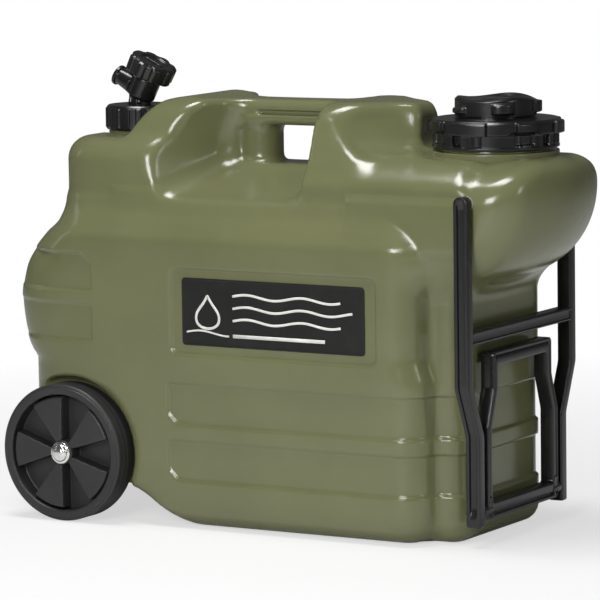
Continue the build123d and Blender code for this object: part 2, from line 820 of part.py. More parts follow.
tilt = math.radians(tap_tilt)
joint = (tap_joint_x, 0, tap_joint_z)
knob_way = (math.sin(tilt), 0, math.cos(tilt))
outlet_way = (-math.cos(tilt), 0, math.sin(tilt))
with BuildPart() as tap_body:
    add(ring(0, tap_flange_radius, flange_bottom, flange_bottom + tap_flange_height, tap_foot, up))
    add(ring(0, column_radius, flange_bottom, tap_joint_z, tap_foot, up))
    add(ring(0, barrel_radius, -barrel_low, barrel_high, joint, knob_way))
    add(ring(0, outlet_radius, 0, outlet_length, joint, outlet_way))
    add(ring(0, outlet_ring_radius, outlet_length - outlet_ring_width, outlet_length, joint, outlet_way))
    add(ring(0, column_bore, 0, tap_joint_z, tap_foot, up), mode=Mode.SUBTRACT)
    add(ring(0, outlet_bore, 0, through, joint, outlet_way), mode=Mode.SUBTRACT)
    add(ring(0, stem_radius + stem_play, barrel_floor - barrel_low, through, joint, knob_way), mode=Mode.SUBTRACT)
finish(tap_body, "tap_body")

# The stem's elbow passage is shown shut: a quarter turn lines it up with the column and the outlet
stem_axis = Axis(joint, knob_way)
with BuildPart() as tap_stem:
    stem_foot = barrel_floor - barrel_low + bore_play
    add(turn(
        ((0, stem_foot), (stem_radius, stem_foot), (stem_radius, seal_low - bore_play),
         (stem_radius - seal_section, seal_low - bore_play),
         (stem_radius - seal_section, seal_low + seal_section + bore_play),
         (stem_radius, seal_low + seal_section + bore_play), (stem_radius, barrel_high),
         (spindle_radius, barrel_high), (spindle_radius, spindle_end), (0, spindle_end)),
        joint, knob_way))
    for way in ((0, 0, -1), outlet_way):
        shut_way = Vector(way).rotate(Axis((0, 0, 0), knob_way), 90)
        add(ring(0, stem_hole, 0, through, joint, tuple(shut_way)), mode=Mode.SUBTRACT)
finish(tap_stem, "tap_stem")
make(ring(stem_radius - seal_section + bore_play, stem_radius, seal_low, seal_low + seal_section, joint, knob_way),
     "stem_seal")

with BuildPart() as tap_knob:
    add(turn(
        ((0, spindle_end), (spindle_radius, spindle_end), (spindle_radius, knob_low), (knob_radius, knob_low),
         (knob_radius, knob_high), (knob_dish_radius + 3.0, knob_high), (knob_dish_radius, knob_high - knob_dish_depth),
         (0, knob_high - knob_dish_depth)),
        joint, knob_way))
    knob_start = Vector(joint) + Vector(knob_way) * knob_low
    with BuildSketch(Plane(origin=knob_start, x_dir=(0, 1, 0), z_dir=knob_way)):
        with PolarLocations(knob_radius - knob_lobe_radius + knob_lobe_reach, knob_lobe_count):
            Circle(knob_lobe_radius)
        Circle(knob_radius - 2.0, mode=Mode.SUBTRACT)
    extrude(amount=knob_high - knob_low)
finish(tap_knob, "tap_knob")
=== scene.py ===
import bpy
import numpy as np
from mathutils import Matrix, Vector


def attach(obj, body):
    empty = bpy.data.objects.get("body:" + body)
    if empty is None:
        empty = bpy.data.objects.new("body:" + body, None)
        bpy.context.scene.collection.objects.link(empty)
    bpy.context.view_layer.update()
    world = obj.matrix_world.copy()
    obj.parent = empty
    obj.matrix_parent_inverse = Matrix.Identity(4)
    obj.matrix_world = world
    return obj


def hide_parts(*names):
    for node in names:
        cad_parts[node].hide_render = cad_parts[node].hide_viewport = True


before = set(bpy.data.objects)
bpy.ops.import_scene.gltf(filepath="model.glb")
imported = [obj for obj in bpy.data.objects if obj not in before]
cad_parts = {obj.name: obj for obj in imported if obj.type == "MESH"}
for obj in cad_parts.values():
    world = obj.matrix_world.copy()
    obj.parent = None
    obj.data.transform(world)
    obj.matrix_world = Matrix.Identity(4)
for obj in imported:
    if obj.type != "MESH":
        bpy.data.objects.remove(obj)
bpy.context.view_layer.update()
print("frame loaded")

# everything below is worked out in millimetres in the shared frame; addMesh turns it into metres


def roundMax(a, b, radius):  # overlap of two distances, its edge rounded to a radius
    return np.minimum(np.maximum(a, b), -radius) + np.hypot(np.maximum(a + radius, 0), np.maximum(b + radius, 0))


def roundMin(a, b, radius):  # union of two distances, its inner corner filled to a radius
    return -roundMax(-a, -b, radius)


def smoothTable(at, keys, values):  # smooth curve through a few values: cubic pieces with shared slopes
    keys, values = np.asarray(keys, float), np.asarray(values, float)
    steps = np.diff(values) / np.diff(keys)
    slopes = np.concatenate(([steps[0]], np.where(steps[1:] * steps[:-1] > 0,
                             2 * steps[1:] * steps[:-1] / (steps[1:] + steps[:-1] + 1e-12), 0), [steps[-1]]))
    at = np.clip(at, keys[0], keys[-1])
    i = np.clip(np.searchsorted(keys, at) - 1, 0, len(keys) - 2)
    span = keys[i + 1] - keys[i]
    t = (at - keys[i]) / span
    return ((2 * t**3 - 3 * t**2 + 1) * values[i] + (t**3 - 2 * t**2 + t) * span * slopes[i]
            + (3 * t**2 - 2 * t**3) * values[i + 1] + (t**3 - t**2) * span * slopes[i + 1])


def gradedLine(low, high, step, fineStep, marks, reach):  # grid lines, closer together near each mark
    sample = np.linspace(low, high, 6000)
    near = np.min(np.abs(sample[:, None] - np.asarray(marks)[None, :]), axis=1)
    density = 1 / (fineStep + (step - fineStep) * np.clip((near - reach) / (2 * reach), 0, 1))
    total = np.concatenate(([0], np.cumsum((density[1:] + density[:-1]) / 2 * np.diff(sample))))
    return np.interp(np.linspace(0, total[-1], int(total[-1]) + 1), total, sample)


def roundAngles(count):  # angles once round, the start not repeated
    return np.linspace(0, 2 * np.pi, count, endpoint=False)


def softStep(inside, width):  # 0 outside, 1 inside, an S curve of the given width between
    t = np.clip(inside / width + 0.5, 0, 1)
    return t * t * (3 - 2 * t)


def meshFromSurface(distance, xs, ys, zs):
    # surface where the distance is nought: one point per grid cell that it crosses, then slid onto it along the slope
    field = distance(xs[:, None, None], ys[None, :, None], zs[None, None, :])
    inside = field < 0
    corners = [(i, j, k) for i in (0, 1) for j in (0, 1) for k in (0, 1)]
    nx, ny, nz = len(xs) - 1, len(ys) - 1, len(zs) - 1
    count = sum(inside[i:nx + i, j:ny + j, k:nz + k].astype(np.int8) for i, j, k in corners)
    ci, cj, ck = np.nonzero((count > 0) & (count < 8))
    number = np.full((nx, ny, nz), -1, np.int64)
    number[ci, cj, ck] = np.arange(len(ci))
    place = np.zeros((len(ci), 3))
    hits = np.zeros(len(ci))
    lines = (xs, ys, zs)
    for a in range(8):
        for b in range(a + 1, 8):
            ca, cb = corners[a], corners[b]
            if sum(abs(p - q) for p, q in zip(ca, cb)) != 1:
                continue
            fa = field[ci + ca[0], cj + ca[1], ck + ca[2]]
            fb = field[ci + cb[0], cj + cb[1], ck + cb[2]]
            cross = (fa < 0) != (fb < 0)
            t = np.where(cross, fa / np.where(cross, fa - fb, 1), 0)
            pa = np.stack([lines[d][c + ca[d]] for d, c in enumerate((ci, cj, ck))], 1)
            pb = np.stack([lines[d][c + cb[d]] for d, c in enumerate((ci, cj, ck))], 1)
            place += np.where(cross[:, None], pa + t[:, None] * (pb - pa), 0)
            hits += cross
    place /= hits[:, None]
    for turn in range(4):
        here = distance(place[:, 0], place[:, 1], place[:, 2])
        small = 0.05
        slope = np.stack([(distance(*(place + small * np.eye(3)[d]).T) - here) / small for d in range(3)], 1)
        step = here[:, None] * slope / np.maximum(np.sum(slope**2, 1), 0.2)[:, None]
        length = np.linalg.norm(step, axis=1, keepdims=True)
        place -= step * np.minimum(1, 2.0 / np.maximum(length, 1e-9))
    quads = []
    for d in range(3):
        e, f = [q for q in range(3) if q != d]
        lowSide = [slice(None)] * 3
        highSide = [slice(None)] * 3
        lowSide[d], highSide[d] = slice(0, -1), slice(1, None)
        change = inside[tuple(lowSide)].astype(np.int8) - inside[tuple(highSide)].astype(np.int8)
        spot = np.array(np.nonzero(change))
        way = change[tuple(spot)]
        ring = []
        for oe, of in ((0, 0), (1, 0), (1, 1), (0, 1)):
            cell = spot.copy()
            cell[e] -= oe
            cell[f] -= of
            ring.append(number[tuple(cell)])
        quad = np.stack(ring, 1)
        flip = (way > 0) if d == 1 else (way < 0)
        quads.append(np.where(flip[:, None], quad, quad[:, ::-1]))
    return place, [np.concatenate(quads)]


def gridSurface(points, wrapU=False, wrapV=True, capStart=False, capEnd=False):
    # faces over a grid of points (u, v, 3): quads between neighbours, and a fan to a middle point at a closed end
    nu, nv = points.shape[:2]
    number = np.arange(nu * nv).reshape(nu, nv)
    a = number if wrapU else number[:-1]
    b = np.roll(number, -1, 0) if wrapU else number[1:]
    c, d = (np.roll(a, -1, 1), np.roll(b, -1, 1)) if wrapV else (a[:, 1:], b[:, 1:])
    if not wrapV:
        a, b = a[:, :-1], b[:, :-1]
    flat = points.reshape(-1, 3)
    faces = [np.stack((a, b, d, c), -1).reshape(-1, 4)]
    for closed, row, turned in ((capStart, 0, False), (capEnd, -1, True)):
        if closed:
            ends = number[row]
            middle = np.full(nv, len(flat))
            fan = np.stack((middle, ends, np.roll(ends, -1)), 1)
            faces.append(fan[:, ::-1] if turned else fan)
            flat = np.vstack((flat, points[row].mean(0)))
    return flat, faces


def joined(*parts):  # several surfaces in one mesh
    starts = np.cumsum([0] + [len(points) for points, faces in parts[:-1]])
    return (np.vstack([points for points, faces in parts]),
            [f + start for (points, faces), start in zip(parts, starts) for f in faces])


def turnedOver(part):  # the same surface, seen from its other side
    points, faces = part
    return points, [f[:, ::-1] for f in faces]


def mirrored(part):  # the same surface on the other side of the middle plane
    points, faces = part
    return points * (1, -1, 1), [f[:, ::-1] for f in faces]


def roundedLine(corners, radii, steps=5, closed=False):
    # line through corners, each corner replaced by an arc that touches both runs
    corners = np.asarray(corners, float)
    radii = np.broadcast_to(np.asarray(radii, float), len(corners))
    before = np.roll(corners, 1, 0) - corners
    after = np.roll(corners, -1, 0) - corners
    before /= np.linalg.norm(before, axis=1, keepdims=True) + 1e-12
    after /= np.linalg.norm(after, axis=1, keepdims=True) + 1e-12
    half = np.arccos(np.clip(np.sum(before * after, 1), -1, 1)) / 2
    middle = before + after
    middle /= np.linalg.norm(middle, axis=1, keepdims=True) + 1e-12
    centre = corners + middle * (radii / np.maximum(np.sin(half), 1e-6))[:, None]
    across = before - middle * np.sum(before * middle, 1)[:, None]
    across /= np.linalg.norm(across, axis=1, keepdims=True) + 1e-12
    angle = np.linspace(1, -1, steps)[None, :] * (np.pi / 2 - half)[:, None]
    arc = (centre[:, None] + radii[:, None, None] * (np.sin(angle)[..., None] * across[:, None]
           - np.cos(angle)[..., None] * middle[:, None]))
    if closed:
        return arc.reshape(-1, corners.shape[1])
    return np.vstack((corners[:1], arc[1:-1].reshape(-1, corners.shape[1]), corners[-1:]))


def spread(line, step):  # the same line with points no further apart than a step, its corners kept
    gaps = np.linalg.norm(np.diff(line, axis=0), axis=1)
    parts = np.maximum(1, np.ceil(gaps / step)).astype(int)
    which = np.repeat(np.arange(len(gaps)), parts)
    t = (np.arange(len(which)) - np.repeat(np.cumsum(parts) - parts, parts)) / parts[which]
    return np.vstack((line[which] * (1 - t[:, None]) + line[which + 1] * t[:, None], line[-1:]))


def lathe(profile, base, axis, angles=None, shape=None, closed=False):
    # turned surface: each profile point (radius, distance along the axis) goes round the axis; shape(radius, along,
    # angle) may move it outwards and along the axis, so lobes, ribs and notches are part of the same grid
    axis = np.asarray(axis, float) / np.linalg.norm(axis)
    side = np.cross((0, 0, 1), axis) if abs(axis[2]) < 0.99 else np.array((0.0, 1.0, 0.0))
    side /= np.linalg.norm(side)
    other = np.cross(axis, side)
    angles = roundAngles(96) if angles is None else angles
    radius = np.repeat(profile[:, :1], len(angles), 1)
    along = np.repeat(profile[:, 1:2], len(angles), 1)
    if shape:
        radius, along = shape(radius, along, np.broadcast_to(angles, radius.shape))
    points = (np.asarray(base, float) + along[..., None] * axis
              + radius[..., None] * (np.cos(angles)[None, :, None] * other * (-1 if abs(axis[2]) > 0.99 else 1)
                                     + np.sin(angles)[None, :, None] * side))
    ends = [] if closed else [profile[0, 0] < 1e-6, profile[-1, 0] < 1e-6]
    if closed:
        return gridSurface(points, wrapU=True)
    inner = points[(1 if ends[0] else 0):(-1 if ends[1] else None)]
    return gridSurface(inner, capStart=ends[0], capEnd=ends[1])


def sweep(path, section, sideWay, closed=False):
    # a section (a, b) carried along a flat path: a runs along sideWay, b along the path's normal, mitred at each bend
    path = np.asarray(path, float)
    sideWay = np.asarray(sideWay, float)
    ahead = np.roll(path, -1, 0) - path
    behind = path - np.roll(path, 1, 0)
    if not closed:
        ahead[-1], behind[0] = behind[-1], ahead[0]
    ahead /= np.linalg.norm(ahead, axis=1, keepdims=True)
    behind /= np.linalg.norm(behind, axis=1, keepdims=True)
    middle = ahead + behind
    middle /= np.linalg.norm(middle, axis=1, keepdims=True)
    normal = np.cross(middle, sideWay)
    stretch = 1 / np.maximum(np.sum(middle * ahead, 1), 0.3)
    points = (path[:, None] + section[None, :, :1] * sideWay
              + (section[None, :, 1] * stretch[:, None])[..., None] * normal[:, None])
    return gridSurface(points, wrapU=closed, capStart=not closed, capEnd=not closed)


def volumeOf(points, faces):  # signed volume: its sign says whether the faces point outwards
    total = 0.0
    for f in faces:
        a = points[f[:, 0]]
        total += sum(np.sum(a * np.cross(points[f[:, k]], points[f[:, k + 1]])) for k in range(1, f.shape[1] - 1))
    return total


def outwardPart(part):  # the same surface with its faces turned outwards
    return part if volumeOf(*part) > 0 else turnedOver(part)


def addMesh(name, part, body, material, slot):
    points, faces = outwardPart(part)
    mesh = bpy.data.meshes.new(name)
    mesh.vertices.add(len(points))
    mesh.vertices.foreach_set("co", (points / 1000).astype(np.float32).ravel())
    corners = np.concatenate([f.ravel() for f in faces]).astype(np.int32)
    sizes = np.concatenate([np.full(len(f), f.shape[1]) for f in faces])
    mesh.loops.add(len(corners))
    mesh.loops.foreach_set("vertex_index", corners)
    mesh.polygons.add(len(sizes))
    mesh.polygons.foreach_set("loop_start", np.concatenate(([0], np.cumsum(sizes)[:-1])).astype(np.int32))
    mesh.update(calc_edges=True)
    mesh.validate()
    mesh.polygons.foreach_set("use_smooth", np.ones(len(mesh.polygons), bool))
    piece = bpy.data.objects.new(name, mesh)
    bpy.context.collection.objects.link(piece)
    mesh.materials.append(material)
    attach(piece, body)
    return piece


def replacing(node, *made):  # a piece that takes a CAD node's place
    piece = addMesh(*made)
    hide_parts(node)
    return piece


def newMaterial(name):
    material = bpy.data.materials.new(name)
    material.use_nodes = True
    tree = material.node_tree
    return material, tree, tree.nodes["Principled BSDF"]


def noiseNode(tree, scale, detail, rough=0.5, stretch=(1, 1, 1)):
    coords = tree.nodes.new("ShaderNodeTexCoord")
    mapping = tree.nodes.new("ShaderNodeMapping")
    mapping.inputs["Scale"].default_value = stretch
    noise = tree.nodes.new("ShaderNodeTexNoise")
    noise.inputs["Scale"].default_value = scale
    noise.inputs["Detail"].default_value = detail
    noise.inputs["Roughness"].default_value = rough
    tree.links.new(coords.outputs["Object"], mapping.inputs["Vector"])
    tree.links.new(mapping.outputs["Vector"], noise.inputs["Vector"])
    return noise


def rampNode(tree, source, stops):
    ramp = tree.nodes.new("ShaderNodeValToRGB")
    elements = ramp.color_ramp.elements
    while len(elements) < len(stops):
        elements.new(0.5)
    for element, (position, colour) in zip(elements, stops):
        element.position = position
        element.color = (*colour, 1)
    tree.links.new(source, ramp.inputs["Fac"])
    return ramp


def mixColour(tree, share, under, over):  # one colour laid over another by a share from 0 to 1
    mix = tree.nodes.new("ShaderNodeMix")
    mix.data_type = "RGBA"
    tree.links.new(share, mix.inputs["Factor"])
    tree.links.new(under, mix.inputs[6])
    mix.inputs[7].default_value = (*over, 1)
    return mix.outputs[2]


def bumpChain(tree, shader, layers):  # layers of (height source, distance in metres, strength)
    previous = None
    for source, distance, strength in layers:
        bump = tree.nodes.new("ShaderNodeBump")
        bump.inputs["Distance"].default_value = distance
        bump.inputs["Strength"].default_value = strength
        tree.links.new(source, bump.inputs["Height"])
        if previous:
            tree.links.new(previous.outputs["Normal"], bump.inputs["Normal"])
        previous = bump
    tree.links.new(previous.outputs["Normal"], shader.inputs["Normal"])


def rangeNode(tree, source, low, high, fromLow=0.0, fromHigh=1.0):
    node = tree.nodes.new("ShaderNodeMapRange")
    node.inputs["From Min"].default_value = fromLow
    node.inputs["From Max"].default_value = fromHigh
    node.inputs["To Min"].default_value = low
    node.inputs["To Max"].default_value = high
    tree.links.new(source, node.inputs["Value"])
    return node.outputs["Result"]


def plastic(name, look):
    # moulded plastic: cloudy colour, dusty patches, edges rubbed paler, patchy gloss, fine grain and slow waves
    material, tree, shader = newMaterial(name)
    cloud = noiseNode(tree, look["cloud"], 4)
    colour = rampNode(tree, cloud.outputs["Fac"], ((0.3, look["dark"]), (0.7, look["light"]))).outputs["Color"]
    dust = noiseNode(tree, 55, 6, 0.7)
    dustShare = rangeNode(tree, dust.outputs["Fac"], 0.0, look["dust"], 0.55, 0.8)
    colour = mixColour(tree, dustShare, colour, look["worn"])
    edge = tree.nodes.new("ShaderNodeNewGeometry")
    rubbed = rangeNode(tree, edge.outputs["Pointiness"], 0.0, look["rub"], 0.53, 0.6)
    colour = mixColour(tree, rubbed, colour, look["worn"])
    tree.links.new(colour, shader.inputs["Base Color"])
    patch = noiseNode(tree, 30, 5, 0.6)
    tree.links.new(rangeNode(tree, patch.outputs["Fac"], look["rough"] - look["spread"],
                             look["rough"] + look["spread"]),
                   shader.inputs["Roughness"])
    shader.inputs["Specular IOR Level"].default_value = look["specular"]
    grain = noiseNode(tree, look["grain"], 2)
    scratch = noiseNode(tree, 120, 3, 0.7, (1, 1, 0.06))
    layers = [(grain.outputs["Fac"], look["grainDepth"], 0.5), (scratch.outputs["Fac"], look["scratchDepth"], 0.4)]
    if look["waveDepth"]:
        wave = noiseNode(tree, 22, 2)
        layers.insert(0, (wave.outputs["Fac"], look["waveDepth"], 0.6))
    bumpChain(tree, shader, layers)
    return material


def metal(name, dark, light, rough, stretch=(1, 1, 1), scale=300):
    # plated or drawn metal: streaks that change colour, gloss and height together
    material, tree, shader = newMaterial(name)
    streak = noiseNode(tree, scale, 3, 0.6, stretch)
    ramp = rampNode(tree, streak.outputs["Fac"], ((0.3, dark), (0.7, light)))
    tree.links.new(ramp.outputs["Color"], shader.inputs["Base Color"])
    shader.inputs["Metallic"].default_value = 1.0
    tree.links.new(rangeNode(tree, streak.outputs["Fac"], rough * 0.7, rough * 1.4), shader.inputs["Roughness"])
    bumpChain(tree, shader, [(streak.outputs["Fac"], 0.00005, 0.4)])
    return material


looks = {
    "olive shell": dict(dark=(0.122, 0.130, 0.060), light=(0.140, 0.148, 0.069), worn=(0.20, 0.21, 0.12),
                        dust=0.10, rub=0.25, cloud=12, rough=0.21, spread=0.05, specular=0.5, grain=1100,
                        grainDepth=0.00003,
                        scratchDepth=0.00002, waveDepth=0.0005),
    "black moulding": dict(dark=(0.006, 0.006, 0.0065), light=(0.010, 0.010, 0.0105), worn=(0.05, 0.05, 0.052),
                           dust=0.12, rub=0.45, cloud=20, rough=0.25, spread=0.06, specular=0.5, grain=1300,
                           grainDepth=0.00007,
                           scratchDepth=0.00003, waveDepth=0),
    "black wheel": dict(dark=(0.018, 0.018, 0.019), light=(0.025, 0.025, 0.026), worn=(0.07, 0.07, 0.07),
                        dust=0.15, rub=0.35, cloud=16, rough=0.46, spread=0.08, specular=0.45, grain=1000,
                        grainDepth=0.0001,
                        scratchDepth=0.00005, waveDepth=0),
    "black tread": dict(dark=(0.010, 0.010, 0.010), light=(0.015, 0.015, 0.015), worn=(0.07, 0.065, 0.06),
                        dust=0.25, rub=0.3, cloud=30, rough=0.6, spread=0.1, specular=0.4, grain=700,
                        grainDepth=0.00015,
                        scratchDepth=0.00008, waveDepth=0),
    "natural plastic": dict(dark=(0.42, 0.42, 0.39), light=(0.52, 0.52, 0.49), worn=(0.3, 0.3, 0.28),
                            dust=0.2, rub=0.1, cloud=40, rough=0.4, spread=0.05, specular=0.5, grain=900,
                            grainDepth=0.00005,
                            scratchDepth=0.00003, waveDepth=0),
    "seal rubber": dict(dark=(0.012, 0.012, 0.012), light=(0.02, 0.02, 0.02), worn=(0.06, 0.06, 0.06),
                        dust=0.2, rub=0.1, cloud=30, rough=0.7, spread=0.08, specular=0.4, grain=1500,
                        grainDepth=0.0001,
                        scratchDepth=0.00003, waveDepth=0),
}
olive, blackSatin, blackWheel, blackTread, naturalPlastic, sealRubber = (plastic(name, look) for name,
                                                                         look in looks.items())
brightZinc = metal("bright zinc", (0.60, 0.60, 0.59), (0.82, 0.82, 0.80), 0.2)
drawnSteel = metal("drawn steel", (0.42, 0.43, 0.44), (0.6, 0.6, 0.62), 0.28, (1, 0.05, 1), 900)
print("materials made")


tank = dict(
    bulgeZ=(0, 143, 151, 160, 174, 198, 224, 243, 258, 270, 293, 400),
    bulgeX=(-250, -250, -256, -261.5, -266, -268.5, -263.5, -252.5, -239, -226, -216, -216),
    frontZ=(0, 140, 165, 258, 270, 293, 400), frontX=(173, 172, 166, 166, 162, 153, 153),
    halfZ=(0, 258, 270, 293, 400), halfY=(108, 108, 103, 91.5, 91.5),
    rearRadiusZ=(0, 143, 170, 258, 293, 400), rearRadius=(54, 54, 60, 58, 38, 38), frontRadius=31, baseRadius=26,
    shoulderTop=293, endWall=198, endHalf=80, endRadius=22, endBase=18,
    noseRadius=84, noseX=184.5, noseZ=308, nosePlan=180, noseTop=15, noseEdge=24, noseBlend=16,
    sideLimit=92.0, sideLimitZ=305,
    upperHalf=91.5, upperRear=-216, upperCorner=38,
    deckZ=346.5, deckEdge=21, deckEnd=-100, deckLevel=337, crownEnd=200, crownLow=262, moundRear=-152, moundEdge=13,
    handleHalf=19, scoopRear=-60, scoopFront=42, scoopBow=12, gapX=-11, gapHalfX=51, gapZ=340, gapHalfZ=17,
    pillarX=-47.5, pillarRadius=19, seamX=2, seamHalfX=44, seamZ=368.3, seamHalfZ=2.2, seamDeep=15.5,
    wallX=66, wallFlare=30,
    topX=(-156, -150, -142, -133, -124, -112, -98, -85, -60, -40, 40, 50, 62, 112, 124, 137, 151, 300),
    topZ=(342, 349, 362, 372.5, 378.5, 381.5, 383, 381.5, 380, 380, 380.5, 381.3, 382, 381, 377, 364, 337, 337),
    sideZ=(290, 310, 324, 338, 352, 367, 380, 392), sideY=(91.5, 91.5, 84.5, 77.5, 72, 65, 56, 44),
    fillerX=190.5, fillerDeck=337, fillerClear=67, tapX=-179, tapDeck=346.5, tapClear=33,
    wheelX=-192, wheelZ=62.5, archRadius=67.5, pocket=94.7,
    panelBands=((43.5, 79.3), (94.0, 130.8)), panelRear=-87, rearBands=((163.8, 197.9), (209.7, 243.8)), rearFront=-167,
    panelDepth=2.5, labelX=22.5, labelZ=196.3, labelHalfX=104.5, labelHalfZ=38.3,
)


def bandMask(x, z, low, high, edge, side, chamfer):
    # how far a point lies inside a band that starts at an edge and runs on to one side, one corner cut off
    along = (x - edge) * side
    across = (high - low) / 2 - np.abs(z - (low + high) / 2)
    cornerSide = (z - low) if side > 0 else (high - z)
    cut = (along + cornerSide - chamfer) / np.sqrt(2)
    return -roundMax(roundMax(-along, -across, 3.0), -cut, 2.0)


def crownDistance(x, ay, z):
    # mounds and handle: a height over x and a half width over z, joined to a full-width deck under the tap,
    # less the scoops beside the handle and the filler, the hand gap and the seam under the handle
    p = tank
    top = smoothTable(x, p["topX"], p["topZ"])
    width = smoothTable(z, p["sideZ"], p["sideY"])
    mound = roundMax((z - top) * 0.8, (ay - width) * 0.93, p["moundEdge"])
    mound = roundMax(mound, p["moundRear"] - x, 5)
    deck = roundMax(p["upperRear"] - x, ay - p["upperHalf"], p["upperCorner"])
    deck = roundMax(roundMax(deck, z - p["deckZ"], p["deckEdge"]), x - p["deckEnd"], 4)
    crown = roundMin(mound, deck, 7)
    crown = np.maximum(np.maximum(crown, x - p["crownEnd"]), p["crownLow"] - z)
    core = p["handleHalf"]
    bow = p["scoopBow"] * np.clip(1 - ((z - p["deckLevel"]) / 42)**2, 0, 1)
    slant = -((x - p["scoopRear"] + bow) * 0.869 + (ay - core) * 0.495)
    handScoop = roundMax(roundMax(slant, x - p["scoopFront"], 14), core - ay, 14)
    floorZ = np.interp(ay, (0, core, p["upperHalf"], 130), (323, 323, 293, 293))
    handScoop = roundMax(handScoop, (floorZ - z) * 0.92, 16)
    crown = roundMax(crown, -handScoop, 8)
    gap = roundMax(np.abs(x - p["gapX"]) - p["gapHalfX"], np.abs(z - p["gapZ"]) - p["gapHalfZ"], 10)
    crown = roundMax(crown, -gap, 6)
    pillar = roundMax(np.maximum(np.hypot(x - p["pillarX"], ay) - p["pillarRadius"], z - 362), 314 - z, 2)
    crown = roundMin(crown, pillar, 6)
    slot = roundMax(np.abs(x - p["seamX"]) - p["seamHalfX"], np.abs(z - p["seamZ"]) - p["seamHalfZ"], 2.0)
    crown = roundMax(crown, -roundMax(slot, p["seamDeep"] - ay, 1), 1)
    wallX = p["wallX"] + 1.1 * np.maximum(0, 62 - ay) + p["wallFlare"] * np.clip((372 - z) / 38, 0, 1)**1.5
    deckZ = np.interp(ay, (0, 60, p["upperHalf"], 130), (p["deckLevel"], p["deckLevel"], 318, 318))
    fillerScoop = roundMax((wallX - x) * 0.72, 18 - ay, 10)
    fillerScoop = roundMax(fillerScoop, (deckZ - z) * 0.9, 14)
    crown = roundMax(crown, -fillerScoop, 10)
    for centre, clear, height in ((p["fillerX"], p["fillerClear"], p["fillerDeck"]),
                                  (p["tapX"], p["tapClear"], p["tapDeck"])):
        well = roundMax(np.hypot(x - centre, ay) - clear, height - z, 8)
        crown = roundMax(crown, -well, 7)
    return crown


def tankDistance(x, y, z):
    # distance to the moulded skin in millimetres: rounded overlaps and filled unions of a few plain forms
    p = tank
    ay = np.abs(y)
    rear, front, half = (smoothTable(z, p[a], p[b]) for a, b in
                         (("bulgeZ", "bulgeX"), ("frontZ", "frontX"), ("halfZ", "halfY")))
    middle = (front + rear) / 2
    corner = np.where(x < middle, smoothTable(z, p["rearRadiusZ"], p["rearRadius"]), p["frontRadius"])
    body = roundMax(np.abs(x - middle) - (front - rear) / 2, ay - half, corner)
    ends = roundMax(x - p["endWall"], ay - p["endHalf"], p["endRadius"])
    sunk = 0.0
    for low, high in p["panelBands"]:
        sunk = sunk + softStep(bandMask(x, z, low, high, p["panelRear"], 1, 10), 2.0)
    rearFade = np.clip((x + 262) / 40, 0.3, 1)
    for low, high in p["rearBands"]:
        sunk = sunk + rearFade * softStep(bandMask(x, z, low, high, p["rearFront"], -1, 10 if high > 200 else 2), 2.0)
    label = -roundMax(np.abs(x - p["labelX"]) - p["labelHalfX"], np.abs(z - p["labelZ"]) - p["labelHalfZ"], 7)
    body = body + p["panelDepth"] * (sunk + softStep(label, 1.4))
    ends = ends + p["panelDepth"] * sunk
    body = roundMax(roundMax(body, -z, p["baseRadius"]), z - p["shoulderTop"], 3)
    ends = roundMax(roundMax(ends, -z, p["endBase"]), z - p["noseZ"], 3)
    ends = np.maximum(ends, 60 - x)
    crown = crownDistance(x, ay, z)
    # nose: a drum lying across, drawn back towards its flat sides as the square of the distance from the middle
    drum = np.hypot(x + y**2 / (2 * p["nosePlan"]) - p["noseX"], z - p["noseZ"]) - p["noseRadius"]
    drum = roundMax(drum, z - p["fillerDeck"], p["noseTop"])
    drum = roundMax(drum, ay - p["upperHalf"], p["noseEdge"])
    sideTop = (z - 313 - (91.5 - ay) * 0.62) * 0.85
    drum = np.maximum(roundMax(drum, sideTop, 12), 100 - x)
    whole = roundMin(body, crown, 7)
    whole = roundMin(whole, ends, 6)
    whole = roundMin(whole, drum, p["noseBlend"])
    under = roundMax(z - 34, ((z - 34) * 0.784 + (x + 125) * 0.62), 10)
    whole = roundMax(whole, -under, 12)
    arch = roundMax(np.hypot(x - p["wheelX"], z - p["wheelZ"]) - p["archRadius"], p["pocket"] - ay, 6)
    whole = roundMax(whole, -arch, 4)
    # limits: nothing below the floor plane, and at the pivots nothing further out than the frame's arms leave room for
    room = ay - p["sideLimit"] - 4 * np.clip(p["sideLimitZ"] - z, 0, 60)
    return np.maximum(np.maximum(whole, -z), room)


tankLines = (
    gradedLine(-276, 276, 4.2, 1.5, (-167, -82, -87, 127), 3),
    gradedLine(-114, 114, 4.2, 2.6, (-19, 19), 5),
    gradedLine(-6, 394, 4.0, 1.4, (43.5, 79.3, 94, 130.8, 158, 163.8, 197.9, 209.7, 234.6, 243.8, 368), 3),
)
tankSkin = replacing("tank", "tank_skin", meshFromSurface(tankDistance, *tankLines), "carrier", olive, "shell")
print("tank skin made", len(tankSkin.data.polygons), "faces")


necks = dict(
    filler=dict(x=190.5, deck=337, top=361, radius=49.5, bore=45.5, foot=56.0, footHeight=4.0, thread=1.4),
    tap=dict(x=-179.0, deck=346.5, top=363, radius=24.0, bore=19.0, foot=28.5, footHeight=0.9, thread=1.0),
)


